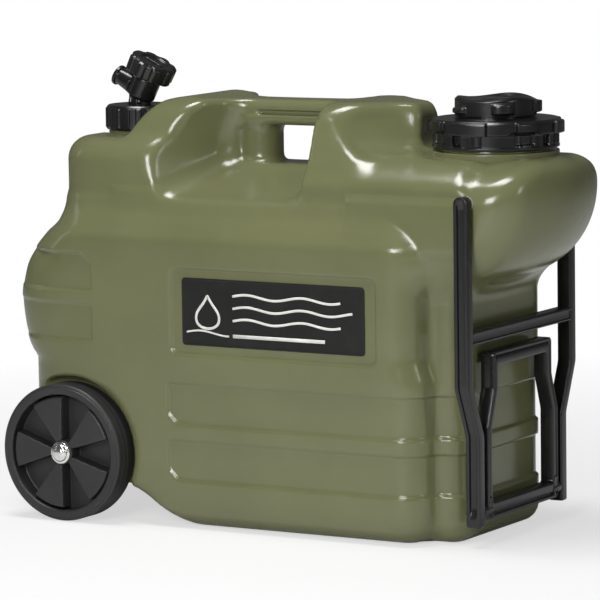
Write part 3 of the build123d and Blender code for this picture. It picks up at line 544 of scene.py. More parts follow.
def neckPart(size):
    # neck: a line up the outside, over the lip and down the bore, turned about the upright axis; the thread is a bead
    # whose height along the axis climbs with the angle
    angles = roundAngles(120)
    corners = ((size["foot"], size["deck"] - 4), (size["foot"], size["deck"] + size["footHeight"]),
               (size["radius"], size["deck"] + size["footHeight"]), (size["radius"], size["top"]),
               (size["bore"], size["top"]), (size["bore"], size["deck"] - 4))
    profile = spread(roundedLine(corners, (0, 0.9, 0.8, 0.8, 0.8, 0), 4), 0.8)

    def threadShape(radius, along, angle):
        outer = ((radius > size["radius"] - 0.4) & (along > size["deck"] + size["footHeight"] + 2)
                 & (along < size["top"] - 2.5))
        turn = np.mod(along - angle / (2 * np.pi) * 6.0, 6.0) - 3.0
        bead = np.clip(1 - (turn / 1.3)**2, 0, 1)
        return radius - np.where(outer, size["thread"] * (1 - bead), 0), along

    return lathe(profile, (size["x"], 0, 0), (0, 0, 1), angles, threadShape, closed=True)


replacing("tank", "tank_necks", joined(*(neckPart(size) for size in necks.values())), "carrier", olive, "shell")
print("necks made")


labelPlate = dict(x=22.5, z=196.3, halfX=93.3, halfZ=30.2, corner=3.5, back=-105.5, front=-106.7)


def platePart(size):
    # plate: its rounded outline drawn in from the back edge, over the rounded front edge and in to the middle
    corners = np.array(((-1, -1), (1, -1), (1, 1), (-1, 1))) * (size["halfX"], size["halfZ"])
    outline = roundedLine(corners, size["corner"], 8, closed=True)
    ahead = np.roll(outline, -1, 0) - np.roll(outline, 1, 0)
    ahead /= np.linalg.norm(ahead, axis=1, keepdims=True)
    inwards = np.stack((-ahead[:, 1], ahead[:, 0]), 1)
    rows = ((0.3, size["back"]), (0.0, size["back"] - 0.2), (0.0, size["front"] + 0.35), (0.1, size["front"] + 0.1),
            (0.35, size["front"]), (1.4, size["front"]), (1.7, size["front"] + 0.12), (2.1, size["front"] + 0.12),
            (3.0, size["front"] + 0.12))
    flat = np.stack([np.column_stack((outline[:, 0] + inset * inwards[:, 0] + size["x"], np.full(len(outline), y),
                                      outline[:, 1] + inset * inwards[:, 1] + size["z"])) for inset, y in rows])
    return gridSurface(flat, capStart=True, capEnd=True)


def strokePart(line, width, front=-106.78, thick=0.3, closed=False):
    # stroke: a flat strip of one width along a line drawn on the label
    path = np.column_stack((line[:, 0], np.full(len(line), front + thick / 2), line[:, 1]))
    half = np.array(((-thick / 2, -width / 2), (thick / 2, -width / 2), (thick / 2, width / 2),
                     (-thick / 2, width / 2)))
    return sweep(path, half, (0, 1, 0), closed=closed)


labelMaterial = plastic("label film", dict(dark=(0.005, 0.005, 0.0045), light=(0.008, 0.008, 0.0075),
                                           worn=(0.05, 0.05, 0.045), dust=0.2,
                                           rub=0.2, cloud=18, rough=0.42, spread=0.06, specular=0.35, grain=1500,
                                           grainDepth=0.00003, scratchDepth=0.00003, waveDepth=0))
inkMaterial = plastic("label ink", dict(dark=(0.62, 0.62, 0.58), light=(0.72, 0.72, 0.68), worn=(0.35, 0.35, 0.31),
                                        dust=0.35,
                                        rub=0.0, cloud=60, rough=0.5, spread=0.06, specular=0.4, grain=1500,
                                        grainDepth=0.00002, scratchDepth=0.00002, waveDepth=0))
replacing("label_plate", "label_film", platePart(labelPlate), "carrier", labelMaterial, "label")
across = np.linspace(0, 1, 60)
drop = roundAngles(64)
rise = np.sin(drop)
taper = np.where(rise > 0, 1 - 0.62 * rise**3, 1)
dropLine = np.column_stack((-44 + 11.5 * np.cos(drop) * (1 - 0.30 * rise) * taper,
                            194 + 12 * rise + 5 * np.clip(rise, 0, 1)**4))
motif = [strokePart(dropLine, 2.4, closed=True)]
for level, (start, end) in ((178, (-66, -22)), (212, (-18, 92)), (201, (-18, 104)), (190, (-18, 92))):
    wave = np.column_stack((start + (end - start) * across, level + 1.9 * np.sin(across * (end - start) / 9.0)))
    motif.append(strokePart(wave, 2.2 if level != 178 else 1.6))
motif.append(strokePart(np.array(((-18.0, 176.5), (76.0, 176.5))), 3.2))
addMesh("label_motif", joined(*motif), "carrier", inkMaterial, "label")
print("label made")


wheel = dict(x=-192.0, z=62.5, radius=62.5, bore=5.08, hub=11.0, rim=53.0, back=96.5, face=124.5, web=109.0,
             webBack=105.5,
             spokes=5, start=-90.0, halfAngle=19.5, spokeTop=122.6, hubFace=123.5,
             grooves=((110.5, 0.7), (104.5, 0.5), (116.5, 0.5)))


def wheelPart(size):
    # wheel: one closed line (hub, web, rim, tread and back) turned about the axle; within each spoke's wedge the web is
    # lifted nearly to the rim's face, and fine cross ribs mark the tread
    corners = ((size["bore"], size["back"]), (size["bore"], size["hubFace"]), (size["hub"] - 1.2, size["hubFace"]),
               (size["hub"], size["hubFace"] - 1),
               (size["hub"], size["web"]), (size["rim"], size["web"]), (size["rim"], size["face"] - 1.7),
               (size["rim"] + 1.2, size["face"] - 0.4),
               (size["radius"] - 3.2, size["face"]), (size["radius"] - 2.6, size["face"] - 0.9),
               (size["radius"] - 1.9, size["face"] - 0.6),
               (size["radius"], size["face"] - 2.4),
               (size["radius"], size["back"] + 1.5), (size["radius"] - 1.5, size["back"]), (size["rim"], size["back"]),
               (size["rim"], size["webBack"]), (size["hub"], size["webBack"]), (size["hub"], size["back"]))
    radii = (0, 0.4, 0.4, 0.6, 1.2, 1.2, 0.6, 0.8, 0.5, 0.3, 0.3, 1.0, 1.0, 0.8, 0.5, 1, 1, 0.3)
    profile = spread(roundedLine(corners, radii, 4), 1.0)
    centres = size["start"] + 360 / size["spokes"] * np.arange(size["spokes"])
    edges = np.mod(np.concatenate((centres - size["halfAngle"], centres + size["halfAngle"])), 360)
    angles = np.radians(gradedLine(0, 360, 2.4, 0.4, np.concatenate((edges, edges - 360, edges + 360)), 1.6)[:-1])

    def wheelShape(radius, along, angle):
        turn = np.degrees(angle)
        gap = np.min(np.abs(np.mod(turn[..., None] - centres + 180, 360) - 180), -1)
        side = radius * np.sin(np.radians(size["halfAngle"] - gap))
        inside = np.minimum(np.minimum(side, size["rim"] - 1.3 - radius), radius - size["hub"] + 3)
        front = ((along > size["web"] - 0.01) & (along < size["web"] + 1.3)
                 & (radius < size["rim"] - 0.02) & (radius > size["hub"] + 0.02))
        lift = softStep(inside - 0.6, 1.1) * (size["spokeTop"] - size["web"])
        along = np.where(front, np.maximum(along, size["web"] + lift), along)
        tread = (radius > size["radius"] - 0.05) & (along < size["face"] - 4) & (along > size["back"] + 2.5)
        band = sum(np.exp(-((along - place) / width)**2) for place, width in size["grooves"])
        return radius - np.where(tread, 0.5 * band, 0), along

    return lathe(profile, (size["x"], 0, size["z"]), (0, -1, 0), angles, wheelShape, closed=True)


wheelFront = wheelPart(wheel)
for name, node, part, body in (("wheel_moulding_front", "wheel_front", wheelFront, "front_wheel"),
                               ("wheel_moulding_rear", "wheel_rear", mirrored(wheelFront), "rear_wheel")):
    replacing(node, name, part, body, blackWheel, "black")

hubCap = dict(x=-192.0, z=62.5, seat=123.8, reach=126.5, flange=10.0, dome=8.3, height=5.5)


def hubCapPart(size):
    # push-on cap: flange, shallow groove and a dome whose height falls off as a circle's does
    t = np.linspace(0, np.pi / 2, 14)
    dome = np.column_stack((size["dome"] * 0.93 * np.sin(t), size["seat"] + 1.9 + (size["height"] - 1.9) * np.cos(t)))
    edge = np.array(((size["dome"], size["seat"] + 1.5), (size["dome"] + 0.4, size["seat"] + 1.25),
                     (size["flange"] - 0.3, size["seat"] + 1.2),
                     (size["flange"], size["seat"] + 0.9), (size["flange"], size["seat"] + 0.2),
                     (size["flange"] - 0.3, size["seat"]),
                     (5.0, size["seat"]), (5.0, size["reach"]), (0.0, size["reach"])))
    profile = np.vstack((dome, edge))

    def dent(radius, along, angle):
        ring = np.exp(-((radius - 4.9) / 0.7)**2) * (along > size["seat"] + 2)
        return radius, along - 0.5 * ring

    return lathe(profile, (size["x"], 0, size["z"]), (0, -1, 0), shape=dent)


capFront = hubCapPart(hubCap)
for name, node, part in (("hub_dome_front", "hub_cap_front", capFront),
                         ("hub_dome_rear", "hub_cap_rear", mirrored(capFront))):
    replacing(node, name, part, "carrier", brightZinc, "zinc")
print("wheels made")


pull = dict(x=209.1, halfDepth=6.9, pivotZ=302.0, outer=103.5, thick=10.5, legOuter=84.0, jogTop=142.0, jogBottom=98.0,
            foot=18.0,
            bend=13.0, rim=3.3, channel=2.4, barLow=179.7, barHigh=191.5)


def armPart(size):
    # arm: a channel section carried down the arm's middle line, narrowed to a half round above the pivot
    mid, legMid = size["outer"] - size["thick"] / 2, size["legOuter"] - size["thick"] / 2
    line = spread(roundedLine(((mid, size["pivotZ"]), (mid, size["jogTop"]), (legMid, size["jogBottom"]),
                               (legMid, size["foot"])),
                              (0, size["bend"], size["bend"], 0), 8), 2.5)
    t = np.linspace(np.pi / 2, 0, 12)[:-1]
    head = np.column_stack((np.full(len(t), mid), size["pivotZ"] + size["halfDepth"] * np.sin(t) * 0.999))
    foot = np.column_stack((np.full(4, legMid), size["foot"] + np.array((1.2, 0.55, 0.15, 0.0))))
    line = np.vstack((head, line[1:-1][line[1:-1, 1] > size["foot"] + 1.5], foot))
    z = line[:, 1]
    narrow = np.sqrt(np.clip(1 - (np.clip(z - size["pivotZ"], 0, None) / size["halfDepth"])**2, 0.002, 1))
    h, w, r, c = size["halfDepth"], size["thick"] / 2, size["rim"], size["channel"]
    section = roundedLine(((-h, -w), (h, -w), (h, w), (h - r, w), (h - r - 0.9, w - c), (-h + r + 0.9, w - c),
                           (-h + r, w), (-h, w)),
                          (1.8, 1.8, 1.3, 0.8, 0.8, 0.8, 0.8, 1.3), 5, closed=True)
    plain = np.column_stack((section[:, 0], np.where((section[:, 1] > 0) & (np.abs(section[:, 0]) < h - 1.1), w,
                                                     section[:, 1])))
    share = (softStep(size["pivotZ"] + 1 - z, 6) * softStep(z - size["foot"] - 12, 8))[:, None, None]
    shaped = plain[None] * (1 - share) + section[None] * share
    footIn = np.clip(1 - (z - size["foot"]) / 1.2, 0, 1)[:, None] * 0.8
    a = shaped[..., 0] * narrow[:, None]
    b = shaped[..., 1]
    a = a - np.sign(a) * np.minimum(footIn, np.abs(a))
    b = b - np.sign(b) * footIn
    points = np.stack((size["x"] + a, line[:, :1] + b, np.repeat(z[:, None], section.shape[0], 1)), -1)
    return gridSurface(points * (1, -1, 1), capStart=True, capEnd=True)


def crossbarPart(size):
    # crossbar: a rounded section with a shallow channel on its outer face, carried straight across between the arms
    h, w = size["halfDepth"], (size["barHigh"] - size["barLow"]) / 2
    section = roundedLine(((-h, -w), (h, -w), (h, -w + 1.6), (h - 1.0, -w + 2.2), (h - 1.0, w - 3.4), (h, w - 2.8),
                           (h, w), (-h, w)),
                          (1.8, 0.9, 0.4, 0.4, 0.4, 0.4, 1.6, 1.8), 5, closed=True)
    reach = size["outer"] - size["thick"] + 1.5
    y = np.linspace(-reach, reach, 60)
    points = np.stack((np.repeat(size["x"] + section[None, :, 0], 60, 0), np.repeat(y[:, None], len(section), 1),
                       np.repeat((size["barLow"] + size["barHigh"]) / 2 + section[None, :, 1], 60, 0)), -1)
    return gridSurface(points, capStart=True, capEnd=True)


armFront = outwardPart(armPart(pull))
replacing("pull_frame", "pull_frame_moulding", joined(armFront, mirrored(armFront), outwardPart(crossbarPart(pull))),
          "frame", blackSatin, "black")

pins = {  # middle, radius, and where each pin starts and ends outwards from the middle plane
    "pivot_pin": ((209.1, 0, 302.0), 3.2, 79.5, 101.0, "carrier"),
    "grip_pin": ((209.1, 0, 31.0), 2.5, 58.0, 81.5, "frame"),
}
for name, (place, radius, start, end, body) in pins.items():
    # pin: a line along the shank with a domed end, turned about the pin's axis, ending flush inside the arm's channel
    profile = roundedLine(((0, start), (radius, start), (radius, end), (0, end)), (0, 0.5, 1.2, 0), 5)
    front = outwardPart(lathe(spread(profile, 1.5), place, (0, -1, 0), roundAngles(40)))
    for side, part in (("front", front), ("rear", mirrored(front))):
        replacing(f"{name}_{side}", f"{name}_shank_{side}", part, body, drawnSteel, "steel")

grip = dict(front=216.0, depth=13.6, halfTop=55.2, halfBottom=67.0, bar=9.0, top=169.5, bottom=23.0, barTop=13.0,
            barBottom=14.0,
            jogTop=137.0, jogBottom=104.0, pivotZ=31.0, lug=7.0)


def gripPart(size):
    # grip: a section ruled between the ring's outer and inner outlines: share across the bar, and depth through it
    def outline(halfTop, halfBottom, top, bottom, radii):
        right = ((halfBottom, bottom), (halfBottom, size["jogBottom"]), (halfTop, size["jogTop"]), (halfTop, top))
        return roundedLine(right + tuple((-y, z) for y, z in right[::-1]), radii + radii[::-1], 7, closed=True)

    outer = outline(size["halfTop"], size["halfBottom"], size["top"], size["bottom"], (5, 10, 8, 4))
    inner = outline(size["halfTop"] - size["bar"], size["halfBottom"] - size["bar"], size["top"] - size["barTop"],
                    size["bottom"] + size["barBottom"], (3, 8, 10, 3))
    f, d = size["front"], size["depth"]
    rows = ((0.04, f - 0.25), (0.10, f), (0.17, f), (0.21, f - 0.25), (0.24, f - 1.9), (0.30, f - 2.3),
            (0.36, f - 1.9), (0.40, f - 0.9),
            (0.48, f - 0.6), (0.88, f - 0.6), (0.96, f - 0.85), (1.0, f - 1.6), (1.0, f - d + 0.9),
            (0.96, f - d + 0.25), (0.88, f - d),
            (0.14, f - d), (0.04, f - d + 0.3), (0.0, f - d + 1.0), (0.0, f - 0.9))
    points = np.stack([np.column_stack((np.full(len(outer), x), *(outer + (inner - outer) * t).T)) for t, x in rows])
    return gridSurface(points, wrapU=True)


def gripPadPart(size, side):
    # pad over each pin: a rounded plate that stands on the ring's lower corner
    corners = np.array(((-3.6, -7.0), (3.6, -7.0), (3.6, 12.0), (-3.6, 12.0)))
    outline = roundedLine(corners, 2.4, 6, closed=True)
    rows = ((1.0, size["front"] - 3), (1.0, size["front"] - 0.35), (0.93, size["front"]), (0.72, size["front"]),
            (0.66, size["front"] - 0.35), (0.3, size["front"] - 0.35))
    points = np.stack([np.column_stack((np.full(len(outline), x), side * (size["halfBottom"] - 4.6) + outline[:, 0] * s,
                                        size["pivotZ"] + 2.4 + (outline[:, 1] - 2.4) * s)) for s, x in rows])
    return gridSurface(points, capStart=True, capEnd=True)


def gripLugPart(size, side):
    # lug: a short line with rounded shoulders turned about the grip pin's axis
    profile = roundedLine(((0, 0), (size["lug"], 0), (size["lug"], 14.9), (0, 14.9)), (0, 0.8, 0.8, 0), 4)
    return lathe(profile, (size["front"] - size["depth"] / 2, side * 58.2, size["pivotZ"]), (0, side, 0),
                 roundAngles(48))


replacing("pull_grip", "pull_grip_moulding", joined(*(outwardPart(p) for p in (
    gripPart(grip), gripPadPart(grip, 1), gripPadPart(grip, -1), gripLugPart(grip, 1), gripLugPart(grip, -1)))),
    "grip", blackSatin, "black")
print("pull frame and grip made")


lid = dict(x=190.5, bore=50.0, skirt=55.3, low=343.7, flange=57.4, flangeLow=356.6, top=369.0, lug=61.0, neck=32.0,
           neckTop=380.0,
           neckBore=27.0, plate=364.0)


def lidPart(size):
    # lid: a closed line up the skirt, over the flange, up the small neck and back inside, turned about the upright
    # axis; every 90 degrees the flange has a plain lug with a rounded rib below it, and half way between them an
    # arched lug over a window, and the skirt has a deep notch with a rib on each side
    corners = ((size["bore"], size["low"]), (size["skirt"] + 0.8, size["low"]),
               (size["skirt"] + 0.8, size["low"] + 2.2), (size["skirt"], size["low"] + 2.8),
               (size["skirt"], size["flangeLow"]), (size["flange"], size["flangeLow"]),
               (size["flange"], size["top"] - 2.6),
               (size["flange"] - 2.4, size["top"]), (size["neck"] + 5.4, size["top"]),
               (size["neck"] + 5.0, size["top"] + 0.8),
               (size["neck"], size["top"] + 0.8), (size["neck"], size["neckTop"]), (size["neckBore"], size["neckTop"]),
               (size["neckBore"], size["plate"]), (size["bore"], size["plate"]))
    radii = (0, 0.7, 0.5, 0.5, 0.6, 0.9, 1.2, 1.2, 0.3, 0.3, 0.3, 0.6, 0.6, 0.6, 1.0)
    profile = spread(roundedLine(corners, radii, 4), 0.8)
    plainLugs = np.array((10, 100, 190, 280))
    marks = np.mod(np.concatenate([plainLugs + k for k in (-9, 9, -4, 4, 36, 54, 31, 59, -25, -16)]), 360)
    angles = np.radians(gradedLine(0, 360, 1.2, 0.35, np.concatenate((marks, marks - 360, marks + 360)), 1.5)[:-1])

    def lidShape(radius, along, angle):
        turn = np.mod(np.degrees(angle) - 10 + 45, 90) - 45  # from the nearest plain lug
        arched = np.abs(np.mod(np.degrees(angle) - 55 + 45, 90) - 45)
        notch = np.abs(turn + 20.5)
        inFlange = (radius > size["skirt"] + 0.3) & (along > size["flangeLow"] - 0.3) & (along < size["top"] - 0.6)
        edge = inFlange & (radius > size["flange"] - 1.6)
        lobe = softStep(9.3 - np.abs(turn), 1.6) + softStep(9.3 - arched, 1.6)
        radius = np.where(edge, radius + (size["lug"] - size["flange"]) * lobe, radius)
        arch = 4.2 * softStep(15 - arched, 7.0)
        lower = inFlange & (along < size["flangeLow"] + 3)
        along = np.where(lower, along + arch * np.clip(1 - (along - size["flangeLow"]) / 3, 0, 1), along)
        outer = (np.abs(radius - size["skirt"]) < 0.3) & (along > size["low"] + 2.5) & (along < size["flangeLow"] + 4)
        window = softStep(10 - arched, 1.2) * softStep(along - 348.5, 1.2)
        deep = softStep(4.4 - notch, 0.9) * softStep(along - 347.5, 1.2) * softStep(356.3 - along, 1.0)
        ribs = softStep(1.3 - np.abs(notch - 6.2), 0.8) + 0.8 * softStep(0.9 - np.abs(arched - 5.0), 0.7)
        knuckle = np.sqrt(np.clip(1 - (turn / 4.4)**2, 0, 1)) * softStep(along - 346.8, 2.5)
        radius = np.where(outer, radius - 2.0 * window - 3.6 * deep + 1.3 * ribs + 2.6 * knuckle, radius)
        return radius, along

    return lathe(profile, (size["x"], 0, 0), (0, 0, 1), angles, lidShape, closed=True)


replacing("filler_lid", "filler_lid_moulding", lidPart(lid), "lid", blackSatin, "black")

vent = dict(x=190.5, bore=32.5, skirt=36.0, low=371.0, top=388.5, lobe=41.0, lobes=5, start=20.0, dish=24.0,
            plate=382.5)


def ventPart(size):
    # vent cap: a closed line up the skirt, over the rim and across the dish, turned about the upright axis; five
    # rounded lobes stand out of the skirt, and the rim rises and falls three times round
    corners = ((0, size["plate"]), (size["bore"], size["plate"]), (size["bore"], size["low"]),
               (size["skirt"], size["low"]),
               (size["skirt"], size["top"] - 2.5), (size["skirt"] - 2.6, size["top"]),
               (size["skirt"] - 5.2, size["top"]),
               (size["dish"] + 3.0, size["top"] - 2.7), (size["dish"] - 10, size["top"] - 3.0),
               (size["dish"] - 12, size["top"] - 2.2), (0, size["top"] - 2.2))
    radii = (0, 0.8, 0.5, 0.8, 1.4, 1.4, 1.0, 2.0, 0.8, 0.8, 0)
    profile = spread(roundedLine(corners, radii, 4), 0.9)
    angles = roundAngles(300)

    def ventShape(radius, along, angle):
        turn = np.degrees(angle)
        away = np.abs(np.mod(turn - size["start"] + 180 / size["lobes"], 360 / size["lobes"]) - 180 / size["lobes"])
        lobe = np.sqrt(np.clip(1 - (away / 15.5)**2, 0, 1))
        outer = (radius > size["bore"] + 0.8) & (along > size["low"] + 0.6)
        grow = lobe * softStep(along - (size["low"] + 3.0), 1.6) * softStep(382.0 + 3.2 * np.cos(angle - 0.35) - along,
                                                                            1.8)
        radius = np.where(outer & (radius > size["skirt"] - 0.9), radius + (size["lobe"] - size["skirt"]) * grow,
                          radius)
        wave = 1.35 * (1 - np.cos(3 * (angle + np.radians(30))))
        topShare = np.clip((along - (size["top"] - 5)) / 5, 0, 1) * softStep(radius - size["dish"] - 4.6, 3)
        return radius, along - wave * topShare

    return lathe(profile, (size["x"], 0, 0), (0, 0, 1), angles, ventShape)


replacing("vent_cap", "vent_cap_moulding", ventPart(vent), "vent", blackSatin, "black")
print("lid and vent cap made")


collar = dict(x=-179.0, bore=24.5, radius=30.5, low=348.0, top=370.5, hole=11.0, plate=367.5, ribs=18, rib=1.2)


def collarPart(size):
    # collar nut: a closed line turned about the upright axis, with ribs whose width is a share of their spacing
    corners = ((size["bore"], size["low"]), (size["radius"], size["low"]), (size["radius"], size["top"] - 1.8),
               (size["radius"] - 1.8, size["top"]),
               (size["hole"] + 3, size["top"]), (size["hole"], size["top"] - 0.6), (size["hole"], size["plate"]),
               (size["bore"], size["plate"]))
    profile = spread(roundedLine(corners, (0, 0.8, 1.2, 1.2, 1.0, 0.4, 0.3, 0.5), 4), 0.8)
    angles = roundAngles(size["ribs"] * 20)

    def ribShape(radius, along, angle):
        away = np.abs(np.mod(np.degrees(angle) + 10, 20) - 10)
        rib = softStep(4.6 - away, 1.6) * softStep(along - size["low"] - 1.6,
                                                   1.0) * softStep(size["top"] - 2.6 - along, 1.4)
        return np.where(radius > size["radius"] - 0.3, radius + size["rib"] * rib, radius), along

    return lathe(profile, (size["x"], 0, 0), (0, 0, 1), angles, ribShape, closed=True)


replacing("tap_collar", "tap_collar_moulding", collarPart(collar), "collar", blackSatin, "black")

tap = dict(x=-179.0, flangeLow=365.0, flange=22.5, column=10.2, joint=(-175.6, 0, 383.8), tilt=26.7,
           barrel=13.5, barrelLow=-7.6,
           barrelHigh=13.0, stemBore=9.08, stemFloor=-5.6, outlet=8.0, outletBore=5.5, outletLength=30.0, ring=9.6)
tilt = np.radians(tap["tilt"])
knobWay = np.array((np.sin(tilt), 0, np.cos(tilt)))
outletWay = np.array((-np.cos(tilt), 0, np.sin(tilt)))


def tapPart(size):
    # tap body: column, barrel and outlet, each a line turned about its own axis, run into one another
    column = roundedLine(((0, 0), (size["flange"], 0), (size["flange"], 2.4), (size["column"] + 0.6, 2.5),
                          (size["column"], 4.5),
                          (size["column"], 8), (size["column"] - 0.8, 12), (size["column"] - 0.8, 18.8), (0, 18.8)),
                         (0, 0.5, 0.5, 0.4, 1.2, 1.0, 1.0, 0.3, 0), 4)

    def columnShape(radius, along, angle):
        away = np.abs(np.mod(np.degrees(angle) + 30, 60) - 30)
        rib = np.sqrt(np.clip(1 - (away / 9)**2, 0, 1)) * softStep(along - 7.0, 1.5)
        return np.where((radius < size["column"] + 0.3) & (radius > 4), radius + 1.3 * rib * (radius < 10.3),
                        radius), along

    barrel = roundedLine(((0, size["barrelLow"]), (size["barrel"] - 2.2, size["barrelLow"]),
                          (size["barrel"], size["barrelLow"] + 2.2),
                          (size["barrel"], size["barrelHigh"] - 2.4), (size["barrel"] - 0.5, size["barrelHigh"]),
                          (size["stemBore"], size["barrelHigh"]),
                          (size["stemBore"], size["stemFloor"]), (0, size["stemFloor"])),
                         (0, 1.8, 1.8, 0.5, 0.5, 0.4, 0.4, 0), 5)
    outlet = roundedLine(((size["outletBore"], 12), (size["outletBore"], size["outletLength"]),
                          (size["ring"], size["outletLength"]),
                          (size["ring"], size["outletLength"] - 3), (size["outlet"] + 0.2, size["outletLength"] - 3.6),
                          (size["outlet"], size["outletLength"] - 6),
                          (size["outlet"] + 0.9, 15.5), (size["outlet"] + 1.6, 11)),
                         (0, 0.5, 0.9, 0.7, 0.5, 1.5, 1.5, 0), 5)
    return joined(
        outwardPart(lathe(spread(column, 1.0), (size["x"], 0, size["flangeLow"]), (0, 0, 1), roundAngles(180),
                          columnShape)),
        outwardPart(lathe(spread(barrel, 1.2), size["joint"], knobWay)),
        outwardPart(lathe(spread(outlet, 1.2), size["joint"], outletWay, closed=True)))


replacing("tap_body", "tap_body_moulding", tapPart(tap), "tap", blackSatin, "black")

knob = dict(low=14.0, high=30.0, radius=21.0, reach=2.0, lobes=8, bore=6.0, dish=12.5, dishDepth=1.6)


def knobPart(size):
    # knob: a line up the flank and over the face, turned about the tilted axis, its flank swelling into eight lobes
    corners = ((0, 23.0), (size["bore"], 23.0), (size["bore"], size["low"]), (size["radius"] - 2.0, size["low"]),
               (size["radius"] - 0.4, size["low"] + 1.6),
               (size["radius"], size["high"] - 2.2), (size["radius"] - 2.4, size["high"]),
               (size["dish"] + 1.4, size["high"]), (size["dish"], size["high"] - size["dishDepth"]),
               (0, size["high"] - size["dishDepth"]))
    profile = spread(roundedLine(corners, (0, 0.3, 0.3, 1.0, 1.0, 1.4, 1.4, 0.6, 0.6, 0), 4), 0.8)
    angles = roundAngles(320)

    def lobeShape(radius, along, angle):
        away = np.abs(np.mod(np.degrees(angle) + 22.5, 45) - 22.5)
        lobe = np.sqrt(np.clip(1 - (away / 15.5)**2, 0, 1))
        flank = np.clip((radius - (size["radius"] - 4.5)) / 2.2, 0, 1)
        return radius + flank * (size["reach"] * lobe - 0.7 * (1 - lobe)), along

    pointer = roundedLine(((-2.2, -9.5), (2.2, -9.5), (2.2, 9.5), (-2.2, 9.5)), 2.1, 6, closed=True)
    side = np.array((0.0, 1.0, 0.0))
    ahead = np.cross(side, knobWay)
    rows = ((1.0, size["high"] - size["dishDepth"] - 0.5), (1.0, size["high"] - 0.55), (0.86, size["high"] - 0.2),
            (0.4, size["high"] - 0.2))
    base = np.array(tap["joint"])
    bar = np.stack([base + knobWay * t + pointer[:, :1] * s * side + pointer[:, 1:] * (1 - (1 - s) * 0.3) * ahead
                    for s, t in rows])
    return joined(outwardPart(lathe(profile, tap["joint"], knobWay, angles, lobeShape)),
                  outwardPart(gridSurface(bar, capStart=True, capEnd=True)))


replacing("tap_knob", "tap_knob_moulding", knobPart(knob), "knob", blackSatin, "black")
print("tap made")

finishes = {"axle": drawnSteel, "lid_gasket": sealRubber, "vent_gasket": sealRubber, "tap_gasket": sealRubber,
            "stem_seal": sealRubber,
            "pull_washer_front": naturalPlastic, "pull_washer_rear": naturalPlastic,
            "axle_washer_front": naturalPlastic,
            "axle_washer_rear": naturalPlastic, "tap_stem": naturalPlastic, "tank": olive}
for node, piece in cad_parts.items():
    if len(piece.data.materials) == 0:
        piece.data.materials.append(blackSatin)
    for number in range(len(piece.data.materials)):
        piece.data.materials[number] = finishes.get(node, blackSatin)

floorMaterial, floorTree, floorShader = newMaterial("pale floor")
floorShader.inputs["Base Color"].default_value = (0.8, 0.8, 0.8, 1)
floorShader.inputs["Roughness"].default_value = 0.6
floorShader.inputs["Specular IOR Level"].default_value = 0.2
path = floorTree.nodes.new("ShaderNodeLightPath")
white = floorTree.nodes.new("ShaderNodeEmission")
white.inputs["Color"].default_value = (1, 1, 1, 1)
white.inputs["Strength"].default_value = 1.0
share = floorTree.nodes.new("ShaderNodeMath")
share.operation = "MULTIPLY"
mix = floorTree.nodes.new("ShaderNodeMixShader")
floorPlace = floorTree.nodes.new("ShaderNodeTexCoord")
fromMiddle = floorTree.nodes.new("ShaderNodeVectorMath")
fromMiddle.operation = "LENGTH"
floorTree.links.new(floorPlace.outputs["Object"], fromMiddle.inputs[0])
floorTree.links.new(path.outputs["Is Camera Ray"], share.inputs[0])
floorTree.links.new(rangeNode(floorTree, fromMiddle.outputs["Value"], 0.6, 1.0, 0.3, 1.1), share.inputs[1])
floorTree.links.new(share.outputs[0], mix.inputs[0])
floorTree.links.new(floorShader.outputs[0], mix.inputs[1])
floorTree.links.new(white.outputs[0], mix.inputs[2])
floorTree.links.new(mix.outputs[0], floorTree.nodes["Material Output"].inputs["Surface"])
floorMesh = bpy.data.meshes.new("floor")
floorMesh.from_pydata([(-9, -9, -0.0004), (9, -9, -0.0004), (9, 9, -0.0004), (-9, 9, -0.0004)], [], [(0, 1, 2, 3)])
floorMesh.materials.append(floorMaterial)
floor = bpy.data.objects.new("floor", floorMesh)
bpy.context.collection.objects.link(floor)

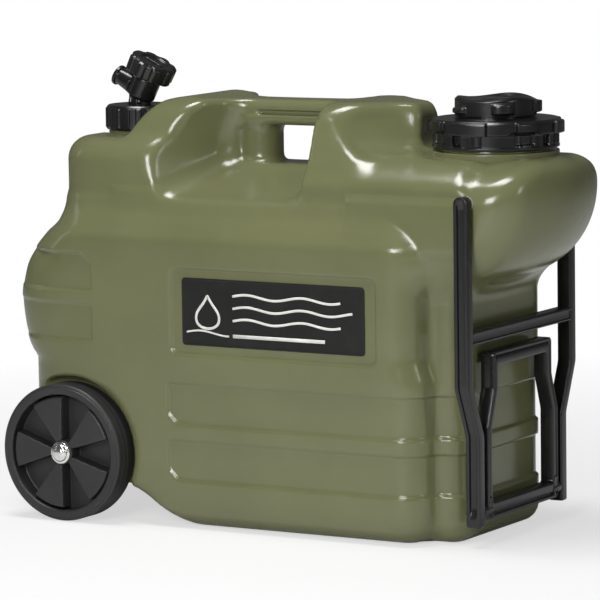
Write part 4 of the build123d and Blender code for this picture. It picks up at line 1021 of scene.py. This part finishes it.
world = bpy.data.worlds.new("studio")
bpy.context.scene.world = world
world.use_nodes = True
back = world.node_tree.nodes["Background"]
lightPath = world.node_tree.nodes.new("ShaderNodeLightPath")
seen = world.node_tree.nodes.new("ShaderNodeMath")
seen.operation = "MAXIMUM"
level = world.node_tree.nodes.new("ShaderNodeMapRange")
level.inputs["To Min"].default_value = 0.10
level.inputs["To Max"].default_value = 1.0
world.node_tree.links.new(lightPath.outputs["Is Camera Ray"], seen.inputs[0])
world.node_tree.links.new(lightPath.outputs["Is Transmission Ray"], seen.inputs[1])
world.node_tree.links.new(seen.outputs[0], level.inputs["Value"])
world.node_tree.links.new(level.outputs["Result"], back.inputs["Strength"])
back.inputs["Color"].default_value = (1, 1, 1, 1)

lamps = {  # place, aim, size and power of each soft box
    "frontBox": ((0.3, -1.6, 0.8), (0, 0, 0.2), (0.55, 0.55), 18),
    "topBox": ((-0.2, -0.3, 2.4), (0, 0, 0.2), (1.2, 0.6), 42),
    "leftBox": ((-2.4, -0.9, 1.2), (0, 0, 0.2), (0.4, 1.0), 2),
    "endBox": ((2.6, -0.6, 1.1), (0.1, 0, 0.25), (0.5, 1.0), 9),
}
for name, (place, aim, size, power) in lamps.items():
    data = bpy.data.lights.new(name, "AREA")
    data.shape = "RECTANGLE"
    data.size, data.size_y = size
    data.energy = power
    lamp = bpy.data.objects.new(name, data)
    lamp.location = place
    lamp.rotation_euler = (Vector(aim) - Vector(place)).to_track_quat("-Z", "Y").to_euler()
    bpy.context.collection.objects.link(lamp)

view = dict(azimuth=30.3246, elevation=7.1482, distance=3.86599, target=(-0.01101, 0, 0.197044), roll=-0.7956,
            lens=256.03)
az, el, roll = (np.radians(view[k]) for k in ("azimuth", "elevation", "roll"))
away = np.array((np.sin(az) * np.cos(el), -np.cos(az) * np.cos(el), np.sin(el)))
right = np.cross(-away, (0, 0, 1))
right /= np.linalg.norm(right)
up = np.cross(right, -away)
turnedRight = np.cos(roll) * right + np.sin(roll) * up
turnedUp = -np.sin(roll) * right + np.cos(roll) * up
cameraData = bpy.data.cameras.new("camera")
cameraData.lens = view["lens"]
cameraData.sensor_width = 36
cameraData.clip_end = 50
camera = bpy.data.objects.new("camera", cameraData)
spot = np.array(view["target"]) + view["distance"] * away
rows = np.column_stack((turnedRight, turnedUp, away, spot)).tolist()
camera.matrix_world = Matrix(rows + [[0, 0, 0, 1]])
bpy.context.collection.objects.link(camera)
bpy.context.scene.camera = camera
bpy.context.scene.view_settings.view_transform = "Standard"
print("stage and camera set")
